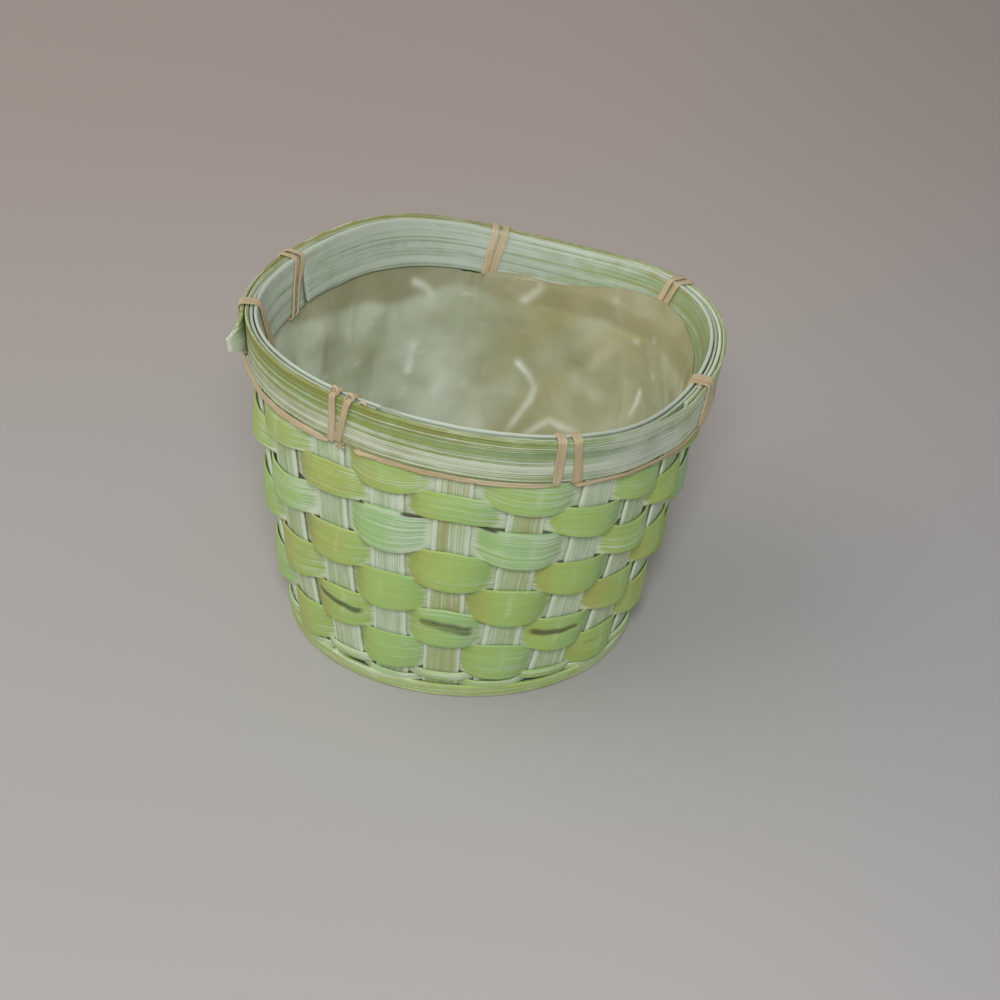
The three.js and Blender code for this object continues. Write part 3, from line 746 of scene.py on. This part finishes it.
def upright_tones(ends, at_level, run, v, lying, noise):
    """The looks of an upright strip: washed, more so at its edges, and stained where STAINS says."""
    wash = 0.5 + 0.1 * noise.line(run * 0.06 + 30) + 0.6 * smooth(0.74, 0.92, np.abs(v)) - 0.25 * lying
    tint = 0.62 + 0.18 * noise.line(run * 0.05 + 60) + 0.12 * noise.line(v * 4 + 70)
    dark = 0.0
    place = np.arange(len(run))[:, None]
    first_half, last_half = place < len(run) / 2, place > len(run) / 2
    for upright, low, high, left, right, kind, amount in STAINS:
        for end, chosen, sign in ((ends[0], first_half, 1), (ends[1], last_half, -1)):
            if (end - upright) % UPRIGHTS:
                continue
            inside = between(low - 1, low, high, high + 1, at_level) * chosen
            area = inside * between(left - 0.06, left + 0.02, right - 0.02, right + 0.06, sign * v)
            tint = tint - area * amount * 1.3
            wash = wash - area * amount * 0.5
            if kind == "dark":
                dark = np.maximum(dark, area * amount)
    return layers(wash, tint, dark, 0)


def upright_strip(name, index, across_way, number):
    """One upright strip: up one side of the basket, under it and up the other side."""
    quarter = UPRIGHTS // 4 if across_way else 0
    start, end = quarter + index, UPRIGHTS // 2 + quarter - index
    start_foot, end_foot = wall(upright_angle(start), 0, 0), wall(upright_angle(end), 0, 0)
    half_chord = np.linalg.norm(end_foot - start_foot) / 2
    way = (end_foot - start_foot) / (2 * half_chord)
    side = np.cross(way, (0, 0, -1.0))
    side = side * (1 if np.dot(side, wall_side(start, [3.0])[0]) > 0 else -1)
    noise = Noise(UPRIGHT_SEED + number)

    levels = np.arange(UPRIGHT_TOP, BEND_LEVEL, -UPRIGHT_STEP)
    places = np.arange(-half_chord + BEND_REACH, half_chord - BEND_REACH, UPRIGHT_STEP)
    up = np.array([0, 0, 1.0])
    lying = (start_foot + end_foot) / 2 + places[:, None] * way
    lying = lying + up * crossing_level(places, index, across_way)[:, None]
    rising = [wall(upright_angle(upright), levels, 0) for upright in (start, end)]
    line = np.concatenate([rising[0], lying, rising[1][::-1]])
    width = np.concatenate([
        wall_side(start, levels), np.tile(side, (len(places), 1)), -wall_side(end, levels[::-1])])
    on_wall = np.concatenate([np.ones(len(levels)), np.zeros(len(places)), np.ones(len(levels))])
    at_level = np.concatenate([levels, np.zeros(len(places)), levels[::-1]])[:, None]
    line = smoothed(line, 3)
    way = unit(np.gradient(line, axis=0))
    width = square_to(way, unit(smoothed(width, 12)))
    facing = np.cross(way, width)
    if ((line - line.mean(0) - 20 * up) * facing).sum() < 0:
        facing = -facing

    run = run_along(line)[:, None]
    v, w = profile(16)
    half = UPRIGHT_WIDTH / 2 * (1 + 0.03 * noise.line(run * 0.05))
    ragged = 0.12 * noise.line(run * 0.4 + 90) * v
    sag = half ** 2 / (2 * wall_radius(at_level)) * smoothed(on_wall, 6)[:, None]
    out = w * UPRIGHT_THICK * 0.46 - sag * v ** 2 + 0.12 * (1 - v ** 2)
    rings = ribbon(line, width, facing, v * half + ragged, out)
    strip = strip_place(run, v * UPRIGHT_WIDTH / 2, w, number, UPRIGHT_SHIFT)
    look = upright_tones((start, end), at_level, run, v, 1 - smoothed(on_wall, 4)[:, None], noise)
    make(name, [swept(rings, strip, look)], upright_look)


for number in range(1, STRIPS + 1):
    index = number - (STRIPS + 1) // 2
    upright_strip(f"upright_front_back_{number}", index, False, number)
    upright_strip(f"upright_side_side_{number}", index, True, number + 2 * STRIPS)


# Hoops

def hoop(u, bottom, top, offset, thick, seed, wash, tint, across=26, belly=0.3, ridges=0.07, ragged=0.16, lean=0,
         top_tint=0.0, low_wash=0.0, edge_wash=0.0):
    """A hoop of split bamboo: a strip that stands round the wall, with lengthwise ridges."""
    v, w = profile(across)
    noise = Noise(seed)
    u, bottom, top, offset, wash, tint = (
        column[:, None] for column in np.broadcast_arrays(u, bottom, top, offset, wash, tint))
    bottom = bottom + ragged * noise.line(u * 3.1) + 0.06 * noise.line(u * 21)
    top = top + ragged * 0.8 * noise.line(u * 2.7 + 50) + 0.06 * noise.line(u * 23 + 80)
    level = bottom + (top - bottom) * (v + 1) / 2
    line = noise.line(v * 6.5 + 20) * 0.6 + noise.line(v * 15 + 60) * 0.4
    relief = ridges * (line + 0.7 * noise.plane(u * 0.9, v * 5 + 9)) * (np.abs(v) < 0.96)
    bellied_out = belly * (1 - v ** 2) * np.sign(w + 1e-9) * 0.5
    out = offset + lean * (v + 1) / 2 + w * thick * 0.46 + bellied_out + relief * w
    rings = wall(upright_angle(u), level, out)
    strip = strip_place(rim_length(u), v * (top - bottom) / 2, w, seed, HOOP_SHIFT)
    wash = wash + 0.12 * noise.line(v * 9 + 300) + 0.1 * noise.plane(u * 0.7, v * 3)
    wash = wash + low_wash * smooth(0.45, -0.35, v) + edge_wash * smooth(0.86, 0.97, v)
    tint = tint + 0.2 * noise.line(v * 5 + 500) + 0.1 * noise.plane(u * 0.8 + 40, v * 4)
    tint = tint + top_tint * smooth(0.35, 0.6, v)
    return swept(rings, strip, layers(wash, tint, 0, 0))


def once_round(seam, gap):
    """Upright places from a seam once round the basket, up to a gap before the seam."""
    return np.arange(seam, seam + UPRIGHTS - gap, 0.08)


def rim_wash(u):
    """How white the outer rim hoop is: more so on the right."""
    a = around(u)
    return 0.47 + 0.17 * between(0.8, 2.6, 8, 10, a) - 0.06 * between(-4.4, -3, -1, 0.5, a)


def rim_tint(u):
    """The tint of the outer rim hoop: greener on the right."""
    a = around(u)
    return 0.22 + 0.5 * between(-0.5, 2.5, 8, 10, a) + 0.12 * smooth(-2.5, -1, a)


# Where the outer hoop's tail and end lie, and where it steps up onto its first layer, in upright places
SEAM_PLACES = rim_places(SEAM_GAP)
FIRST_TIE = TIE_GAPS[0] + 0.5 + FIRST_TIE_LEAN + 2 * UPRIGHTS
TAIL_START = FIRST_TIE + rim_places(TIE_SPACING / 2 + STRAND_WIDTH)
HOOP_END = TAIL_START + rim_places(TAIL_REACH)
STEP_END = HOOP_START + UPRIGHTS - SEAM_PLACES
STEP_START = STEP_END - HOOP_STEP

hoop_u = np.concatenate([np.arange(HOOP_START, TAIL_START, 0.06), np.linspace(TAIL_START, HOOP_END, 12)])
layer = smooth(STEP_START, STEP_END, hoop_u)
tail = np.clip((hoop_u - TAIL_START) / (HOOP_END - TAIL_START), 0, 1)
tail_look = smooth(TAIL_START - 0.3, HOOP_END, hoop_u)
outer_part = hoop(
    hoop_u, HOOP_BOTTOM + TAIL_RISE * tail ** 0.5 + 1.2 * tail, HEIGHT - TAIL_DROP * tail,
    OUTER_OFFSET + LAYER_STEP * layer + TAIL_FLARE * tail ** 2, OUTER_THICK, OUTER_SEED,
    rim_wash(hoop_u) - 0.2 * tail_look + 0.7 * tail_look ** 5,
    rim_tint(hoop_u) + 0.6 * tail_look - 0.3 * layer * (1 - tail_look), top_tint=-0.18, low_wash=0.12)
make("rim_outer_hoop", [outer_part], rim_look)

inner_u = once_round(INNER_SEAM, SEAM_PLACES)
shaded = smooth(11.0, 6.5, inner_u % UPRIGHTS) * smooth(2.0, 5.0, inner_u % UPRIGHTS)
inner_part = hoop(
    inner_u, HOOP_BOTTOM, HEIGHT + 0.35, INNER_OFFSET, INNER_THICK, INNER_SEED,
    0.66 - 0.36 * shaded, 0.62 - 0.42 * shaded, ridges=0.05, lean=INNER_LEAN, edge_wash=0.35)
make("rim_inner_hoop", [inner_part], inner_look)

filler_outer = OUTER_OFFSET - OUTER_THICK / 2 - CLEAR
filler_inner = INNER_OFFSET + INNER_LEAN + INNER_THICK / 2 + CLEAR
filler_u = once_round(FILLER_SEAM, SEAM_PLACES)
step = FILLER_SEAM_STEP * (1 - smooth(FILLER_SEAM, FILLER_SEAM + 0.5, filler_u))
filler_part = hoop(
    filler_u, FILLER_TOP - FILLER_HEIGHT + step, FILLER_TOP + step, (filler_outer + filler_inner) / 2,
    filler_outer - filler_inner, FILLER_SEED, 0.5, 0.35, across=8, belly=0.1, ridges=0.05)
make("rim_filler", [filler_part], inner_look)

foot_part = hoop(
    once_round(9.6, 0.03), 0.1, FOOT_HOOP_WIDTH + 0.6, UPRIGHT_FACE + CLEAR + FOOT_HOOP_THICK / 2,
    FOOT_HOOP_THICK, FOOT_SEED, 0.4, 0.24,
    across=12, belly=0.25, ridges=0.06, ragged=0.14, lean=-0.3)
make("foot_hoop", [foot_part], weaver_look)


# Ties

STRAND_LIFT = 0.14
STRAND_STEP = 0.35
# The width of the run of strand below the hoop that follows each tie
RUN_WIDTHS = [2.0, 1.3, 0.9, 1.2, 1.2, 1.2, 1.2]

# The two outer legs of each tie, in upright places at their bottom and their top, and their width
TIE_LEGS = [
    ((-4.66, -4.43), (-4.56, -4.34), 1.8),
    ((-1.84, -1.8), (-1.74, -1.55), 2.5),
    ((1.27, 1.25), (1.56, 1.46), 2.7),
    ((4.5, 4.6), (4.62, 4.72), 2.5),
    ((7.28, 7.25), (7.42, 7.4), 2.1),
    ((10.36, 10.17), (10.5, 10.32), 2.4),
    ((14.3, 14.08), (14.44, 14.21), 1.8),
]

# Where the inner legs of some ties end, in upright places
INNER_PLACES = {4: (7.36, 7.47), 5: (10.32, 10.43)}


def strand_offset(place):
    """How far out the strands lie on one or two layers of the outer hoop."""
    turned = (place - HOOP_START) % UPRIGHTS + HOOP_START
    rising = smooth(STEP_START, STEP_END, turned)
    end = HOOP_END - UPRIGHTS
    layer_count = np.maximum(rising, 1 - smooth(end - 0.5, end - 0.1, turned))
    return OUTER_OFFSET + OUTER_THICK / 2 + LAYER_STEP * layer_count + STRAND_LIFT + STRAND_THICK / 2


def rim_map(points):
    """Points of the flat map of the rim, (length round it, offset, level), brought to the basket."""
    return wall(FIRST_ANGLE + points[..., 0] / RIM_RADIUS, points[..., 2], points[..., 1])


def tie_path(tie):
    """The path of one tie in the flat map of the rim: each point, the way that its face looks, and its width."""
    here = TIE_GAPS[tie] + 0.5
    following = (tie + 1) % len(TIE_GAPS)
    next_leg = TIE_LEGS[following][0][0] + (UPRIGHTS if following == 0 else 0)
    *legs, leg_width = TIE_LEGS[tie]
    crossings = [rim_length(here) + share * TIE_SPACING for share in (-0.5, 0.5)]
    if tie in INNER_PLACES:
        crossings = [rim_length(place) for place in INNER_PLACES[tie]]

    def outer_at(x):
        return float(strand_offset(rim_places(x)))

    hoop_sag = RIM_RADIUS * (1 - math.cos(PITCH / 4))
    inner = INNER_OFFSET - INNER_THICK / 2 - hoop_sag - STRAND_LIFT - STRAND_THICK / 2
    inner_top = inner + INNER_LEAN
    top_level = HEIGHT + CLEAR + STRAND_THICK / 2
    slot_level = HOOP_BOTTOM - CLEAR - STRAND_THICK / 2
    path = []

    def add(x, offset, level, out, up, width=leg_width):
        path.append(((x, offset, level), (0, out, up), width))

    for turn, (bottom, top) in enumerate(legs):
        crossing, low, high = crossings[turn], rim_length(bottom), rim_length(top)
        if turn == 0:
            add(low, outer_at(low) - 0.2, slot_level - 0.3, 1, 0)
        add(low, outer_at(low), slot_level + TIE_BEND + 0.2, 1, 0 if turn == 0 else -1)
        add(high, outer_at(high), top_level - TIE_BEND, 1, 1)
        add(high, outer_at(high) - TIE_BEND, top_level, 1, 1)
        add(high, inner_top + TIE_BEND, top_level, -1, 1)
        add(high, inner_top, top_level - TIE_BEND, -1, 1)
        add(crossing, inner, slot_level + TIE_BEND, -1, -1)
        add(crossing, inner + TIE_BEND, slot_level, -1, -1)
        after = rim_length(legs[1][0]) if turn == 0 else crossing
        add(after, outer_at(after) - TIE_BEND, slot_level, 1 if turn == 0 else -1, -1)
    leave, run_width = crossings[1], RUN_WIDTHS[tie]
    run_level = HOOP_BOTTOM - run_width / 2 + 0.1
    add(leave + 0.6, outer_at(leave) - 0.1, slot_level - 0.3, -1, -0.6, run_width)
    place = here + 0.35
    while place <= next_leg - 0.2:
        add(rim_length(place), outer_at(rim_length(place)), run_level, -1, 0, run_width)
        place += 0.4
    end = rim_length(next_leg) - leg_width / 2 - 0.2
    add(end, outer_at(end), run_level, -1, 0, run_width)
    return path


def dense(path):
    """Points, faces and widths along a path at even short steps, rounded off at its corners."""
    at, face, width = (np.array(part, float) for part in zip(*path))
    run = run_along(at)
    s = np.linspace(0, run[-1], int(run[-1] / STRAND_STEP))
    at, face = (np.stack([np.interp(s, run, column) for column in part.T], -1) for part in (at, face))
    return smoothed(at, 5), unit(smoothed(face, 10)), smoothed(np.interp(s, run, width), 8)


def strand(at, face, width, thick, number):
    """A flat strand along points in the map, with the way that its face looks and its width at each."""
    noise = Noise(STRAND_SEED + number)
    line = rim_map(at)
    way = unit(np.gradient(line, axis=0))
    facing = square_to(way, rim_map(at + face * 0.05) - line)
    run = run_along(line)[:, None]
    v, w = profile(7)
    half = width[:, None] / 2 * (1 + 0.1 * noise.line(run * 0.35))
    cupped = 0.16 * noise.line(run * 0.3 + 40) * (v ** 2 - 0.4)
    rings = ribbon(line, np.cross(way, facing), facing, v * half, w * thick / 2 + cupped + 0.05 * np.sin(v * 9))
    strip = strip_place(run, v * STRAND_WIDTH / 2, w, number, STRAND_SHIFT)
    wash, tint = 0.25 + 0.15 * noise.line(run * 0.2), 0.5 + 0.3 * noise.line(run * 0.12 + 70)
    return swept(rings, strip, layers(wash, tint, 0 * v, 0))


# Small curls of loose strand: tie, place, distance in from the hoop's face, height above the rim, length and
# lift. Their numbers follow those of the ties.
FIRST_CURL = 20
CURLS = [
    (1, -1.78, 0.4, 0.9, 2.6, 1.7),
    (1, -1.53, 0.5, 0.8, 2.4, 1.3),
    (1, -1.33, 0.6, 0.5, 1.8, 0.6),
    (1, -1.66, -0.4, -14.6, 2.6, -0.5),
    (3, 4.5, 2.2, 0.3, 2.4, 0.5),
]


def curl(place, inwards, rise, length, lift, number):
    """A short loose end of strand that stands up in a small loop."""
    turn = np.linspace(-0.35, math.pi + 0.35, 18)
    at = layers(
        rim_length(place) - np.cos(turn) * length / 2, strand_offset(place) - inwards - 0.35 * np.sin(turn),
        HEIGHT + rise + lift * np.sin(turn))
    face = layers(-np.cos(turn) * np.sign(lift), 0.35, np.sin(turn) * np.sign(lift))
    return strand(at, unit(face), np.linspace(1.3, 0.8, len(turn)), 0.35, number)


for tie in range(len(TIE_GAPS)):
    at, face, width = dense(tie_path(tie))
    width[:5] *= np.linspace(0.6, 1, 5)
    width[-12:] *= np.linspace(1, 0.3, 12)
    parts = [strand(at, face, width, STRAND_THICK * 0.9, tie)]
    parts += [curl(*own[1:], FIRST_CURL + i) for i, own in enumerate(CURLS) if own[0] == tie]
    make(f"rim_tie_{tie + 1}", parts, tie_look)


# Liner

MIDDLE_RADIUS = float(wall_radius(HEIGHT / 2))
FILM_TURNS, FILM_WALL_STEPS, FILM_FLOOR_STEPS = 440, 96, 40
# How much of the wall's run the tuck behind the hoop adds
TUCK_SHARE = 0.06

# Painted highlights along creases of the film, which also push it in a little: half width in mm, strength, and
# points as an angle in degrees and a level in mm
CREASE_HIGHLIGHTS = [
    (1.1, 0.8, [(202, 79), (199, 78), (197, 76)]),
    (1.1, 1.0, [(168, 79), (166, 81), (164, 84)]),
    (1.3, 1.0, [(202, 59), (203, 55), (204, 51)]),
    (1.0, 0.9, [(167, 56), (163, 53), (160, 49), (161, 44), (163, 40), (167, 32)]),
    (1.0, 1.0, [(160, 32), (156, 36), (152, 39), (147, 38), (142, 37)]),
    (3.2, 0.4, [(146, 55), (142, 54), (138, 52)]),
    (0.8, 1.0, [(122, 60), (122, 56), (123, 51)]),
    (0.8, 0.6, [(128, 76), (128.5, 76)]),
    (0.7, 0.6, [(122, 79), (122.5, 79)]),
    (0.7, 0.6, [(118, 68), (118.5, 68)]),
    (0.8, 0.4, [(140, 86), (140.5, 86)]),
    (2.2, 0.45, [(191, 48), (193, 44)]),
    (1.6, 0.3, [(184, 46), (180, 44), (174, 46)]),
    (2.4, 0.25, [(136, 71), (141, 64), (143, 58)]),
    (2.6, 0.25, [(244, 76), (233, 70), (228, 66)]),
    (1.2, 0.5, [(300, 60), (304, 50), (303, 42)]),
    (1.0, 0.6, [(60, 66), (57, 58), (52, 52), (40, 47)]),
    (1.2, 0.6, [(10, 62), (14, 54), (12, 44)]),
    (1.0, 0.5, [(340, 52), (334, 46), (330, 36)]),
]

# Folds of the film with painted shade in them, which also push it out a little, in the same form
SHADED_FOLDS = [
    (2.0, 0.7, [(244, 68), (228, 63), (214, 55), (204, 48), (197, 45)]),
    (2.2, 0.55, [(142, 69), (149, 59), (152, 50), (157, 41), (160, 33)]),
    (1.8, 0.4, [(135, 69), (135, 58), (134, 48), (135, 42)]),
    (1.6, 0.35, [(184, 74), (176, 70), (168, 71)]),
    (2.0, 0.4, [(20, 70), (26, 58), (24, 44)]),
    (2.0, 0.4, [(320, 66), (312, 55), (314, 40)]),
]

# Where the film lies over the inner hoop: angles in degrees, and heights above the hoop's lower edge in mm
OVER_ANGLES = [84, 94, 101, 111, 118, 125, 131, 136, 144, 153, 161, 168, 175, 183, 190]
OVER_HEIGHTS = [0, 1.2, 2.8, 4.7, 6.6, 7.3, 7.3, 6.7, 4.6, 2.6, 1.8, 2.2, 2.2, 1.0, 0]


def fold_rings(angle):
    """How far the main folds push the film's wall in, at each ring: they slant, and fade at floor and rim."""
    place = ((angle - FIRST_ANGLE) / PITCH) % UPRIGHTS
    edge = (UPRIGHT_WIDTH / 2 + CLEAR) / MIDDLE_RADIUS / PITCH
    index = np.arange(-2, 2 * UPRIGHTS + 2)
    corner = index // 2 + np.where(index % 2 == 0, -edge, edge)
    step = np.arange(LINER_RINGS + 1)[:, None]
    turn = LINER_FOLDS * index / (2 * UPRIGHTS) + LINER_FOLD_SLANT * step
    depth = LINER_FOLD_DEPTH * (1 - np.cos(2 * math.pi * turn)) / 2
    depth[0], depth[-1] = LINER_FLOOR_INSET, 0
    return np.stack([ring_mean(np.interp(place, corner, ring), 3) for ring in depth])


def near_lines(angle, level, lines):
    """How near points of the film's wall lie to some lines, from 0 to 1."""
    nearness = np.zeros(angle.shape)
    for half_width, strength, points in lines:
        for (first_angle, first_level), (last_angle, last_level) in zip(points, points[1:]):
            across = np.radians((np.degrees(angle) - first_angle + 180) % 360 - 180) * MIDDLE_RADIUS
            up = level - first_level
            round_way, up_way = math.radians(last_angle - first_angle) * MIDDLE_RADIUS, last_level - first_level
            along = np.clip((across * round_way + up * up_way) / (round_way ** 2 + up_way ** 2), 0, 1)
            away = np.hypot(across - along * round_way, up - along * up_way)
            nearness = np.maximum(nearness, 0.8 * strength * np.exp(-(away / (1.25 * half_width)) ** 2))
    uneven = Noise(CREASE_SEED).plane(angle * MIDDLE_RADIUS * 0.16 + 50, level * 0.16 + 50)
    return nearness * (0.72 + 0.4 * uneven)


def film_floor(rim, noise, second):
    """Rings of the film's floor, from near its middle to its edge, with fine wrinkles."""
    rings = []
    for step in range(1, FILM_FLOOR_STEPS + 1):
        share = step / FILM_FLOOR_STEPS
        points = rim * share
        x, y = points[:, 0], points[:, 1]
        wrinkle = 0.5 * np.abs(noise.plane(x * 0.09, y * 0.09)) + 0.3 * np.abs(second.plane(x * 0.2, y * 0.2))
        points[:, 2] = rim[:, 2] + wrinkle * 1.1 * smooth(0, 0.15, 1 - share)
        rings.append(points)
    return rings


def film_tones(angle, level, noise):
    """How warm the film's wall is, and how strong the painted shadow below the inner hoop is, round the basket.
    """
    turned = np.degrees(angle)
    warm = smooth(196, 160, turned) * smooth(40, 80, turned)
    warm = warm * (0.75 + 0.35 * noise.line(angle * 5 + level * 0.07)) + 0.12
    depth = 7.5 * smooth(275, 225, turned) * smooth(186, 215, turned) + 5.0 * smooth(182, 160, turned) + 1.5
    depth = depth + 4.0 * smooth(222, 204, turned) * smooth(160, 180, turned)
    # A painted shadow on the film below the inner hoop, whose depth varies round the basket.
    hoop_shadow = smooth(HOOP_BOTTOM - depth - 2.0, HOOP_BOTTOM - depth + 1.5, level)
    return warm, hoop_shadow * (0.45 + 0.55 * smooth(4, 6, depth))


def film_liner():
    """The crumpled film cup: a floor, and a wall that is tucked behind the inner hoop or laid over it."""
    angle = np.linspace(0, 2 * math.pi, FILM_TURNS, endpoint=False)
    across, through = np.cos(angle), np.sin(angle)
    noise, second = Noise(FILM_SEED), Noise(FILM_SEED + 1)
    folds = fold_rings(angle)

    place = (angle - FIRST_ANGLE) / PITCH
    tied = np.max([np.abs(around(place - tie - 0.5)) < 0.5 for tie in TIE_GAPS], axis=0)
    tied = ring_mean(1.0 * tied, 4)
    over = np.interp(np.degrees(angle), OVER_ANGLES, OVER_HEIGHTS) + 0.25 * noise.line(angle * 16)
    laid = smooth(0.4, 1.4, over)
    cover = 1.9 + 0.85 * tied
    notch = TOP_ROW_TOP - ROW_GAP / 2
    knee = HOOP_BOTTOM + (notch - ROW_GAP - HOOP_BOTTOM) * tied * (1 - laid) + (over - 0.4) * laid
    top = HOOP_BOTTOM + LINER_TUCK - 0.6 + (notch - 0.1 - HOOP_BOTTOM - LINER_TUCK + 0.6) * tied
    top = top * (1 - laid) + (HOOP_BOTTOM + over) * laid

    floor_level = LINER_FLOOR + 0.15
    rim = wall(angle, floor_level, LINER_OFFSET - LINER_FLOOR_INSET)
    rim[:, 2] = floor_level
    rings = film_floor(rim, noise, second)
    floor_look = np.array([[0.06, 0.25, 0, 0]])
    looks = [np.tile(floor_look, (FILM_TURNS, 1))] * FILM_FLOOR_STEPS
    for step in range(1, FILM_WALL_STEPS):
        share = step / (FILM_WALL_STEPS - 1) * (1 + TUCK_SHARE)
        up, tuck = min(share, 1), max(share - 1, 0) / TUCK_SHARE
        level = floor_level + (knee - floor_level) * up + (top - knee) * tuck
        ring = min(int(up * LINER_RINGS), LINER_RINGS - 1)
        part = up * LINER_RINGS - ring
        inward = folds[ring] * (1 - part) + folds[ring + 1] * part
        crease = 1 - np.abs(noise.plane(6 * across + 2 * share + 20, 6 * through + 4 * share + 20)) * 2
        small = 1 - np.abs(second.plane(14 * across - 4 * share + 40, 14 * through + 6 * share + 40)) * 2
        crease, small = np.clip(crease, 0, 1), np.clip(small, 0, 1)
        # Painted highlights along creases and painted shade in folds, which also move the film a little.
        pale, fold_shade = (near_lines(angle, level, marks) for marks in (CREASE_HIGHLIGHTS, SHADED_FOLDS))
        free = between(0.0, 0.1, 0.88, 0.98, share)
        inward = inward + free * (0.35 * crease ** 2 + 0.14 * small ** 2 + 0.6 * pale - 0.3 * fold_shade)
        lean = LINER_LEAN * tuck * (1 - tied) * (1 - laid)
        lean = lean + laid * INNER_LEAN * np.clip((level - HOOP_BOTTOM) / HOOP_WIDTH, 0, 1)
        lean = lean - laid * cover * smooth(HOOP_BOTTOM - 34, HOOP_BOTTOM, level)
        rings.append(wall(angle, level, LINER_OFFSET - inward + lean))
        looks.append(layers(pale + 0.05 * crease, *film_tones(angle, level, noise), fold_shade))
    points = np.concatenate(rings + [np.array([[0, 0, floor_level]])])
    faces = quads(len(rings), FILM_TURNS)[:, [0, 3, 2, 1]].tolist()
    middle = len(points) - 1
    faces += [[middle, (i + 1) % FILM_TURNS, i] for i in range(FILM_TURNS)]
    return points, faces, points, np.concatenate(looks + [floor_look])


film = make("film_liner", [film_liner()], film_look)


# Stage, light and camera

FLOOR_REACH = 6.0


def floor_with_painted_falloff(name, colour, right, back, roughness):
    """A matt surface that is a little darker to the right and warmer to the back: painted light falloff."""
    n = Nodes(name)
    place = n.add("TexCoord", {}).outputs["Object"]
    parts = n.add("SeparateXYZ", {0: place}).outputs
    mottled = n.noise(place, (2.2, 2.2, 2.2), (0, 0, 0), 2.0, 0.5)
    tone = n.mix(n.spread(parts[0], 0.02, 0.32), linear(*colour), linear(*right))
    tone = n.mix(n.spread(parts[1], -0.05, 0.4), tone, linear(*back), "MULTIPLY")
    tone = n.mix(n.spread(mottled, 0.3, 0.7, 0.0, 0.03), tone, linear(120, 118, 116))
    n.surface(tone, roughness, 0.2)
    return n.material


floor_mesh = bpy.data.meshes.new("floor")
corners = [(x * FLOOR_REACH, y * FLOOR_REACH, 0) for x, y in ((-1, -1), (1, -1), (1, 1), (-1, 1))]
floor_mesh.from_pydata(corners, [], [(0, 1, 2, 3)])
# The floor's darker right and warmer back are painted light falloff.
floor_mesh.materials.append(floor_with_painted_falloff("floor", (171, 169, 168), (152, 153, 155), (255, 243, 236), 0.85))
floor = linked("floor", floor_mesh)

world = bpy.data.worlds.new("world")
world.use_nodes = True
background = world.node_tree.nodes["Background"]
background.inputs["Color"].default_value = (1.0, 0.96, 0.93, 1.0)
background.inputs["Strength"].default_value = 0.4
bpy.context.scene.world = world


def lamp(name, place, target, size, power, colour):
    """A round lamp that looks at a target."""
    light = bpy.data.lights.new(name, "AREA")
    light.shape = "DISK"
    light.size = size
    light.energy = power
    light.color = colour
    holder = linked(name, light)
    holder.location = place
    away = Vector(place) - Vector(target)
    holder.rotation_euler = away.to_track_quat("Z", "Y").to_euler()


lamp("key", (0.01, -0.9, 0.84), (0.01, 0, 0.05), 0.3, 8.2, (0.965, 0.995, 1.0))
lamp("left", (-1.6, 0.1, 1.3), (0.0, 0.1, 0.0), 3.0, 22.0, (1.0, 0.925, 0.86))

# The camera was fitted to the photograph: its focal length is in pixels of a picture 1000 wide
FOCAL, PICTURE_WIDTH, SENSOR_WIDTH = 2259.277, 1000, 36.0
DISTANCE = 0.7
TILT = math.radians(34.205)
TARGET = (0.012855, 0.0, 0.037876)
camera_data = bpy.data.cameras.new("camera")
camera_data.sensor_fit = "HORIZONTAL"
camera_data.sensor_width = SENSOR_WIDTH
camera_data.lens = SENSOR_WIDTH * FOCAL / PICTURE_WIDTH
camera_data.clip_start, camera_data.clip_end = 0.01, 50
camera = linked("camera", camera_data)
camera.location = (TARGET[0], TARGET[1] - DISTANCE * math.cos(TILT), TARGET[2] + DISTANCE * math.sin(TILT))
camera.rotation_euler = (math.pi / 2 - TILT, 0, 0)
bpy.context.scene.camera = camera
bpy.context.scene.view_settings.view_transform = "Standard"

bpy.context.view_layer.update()
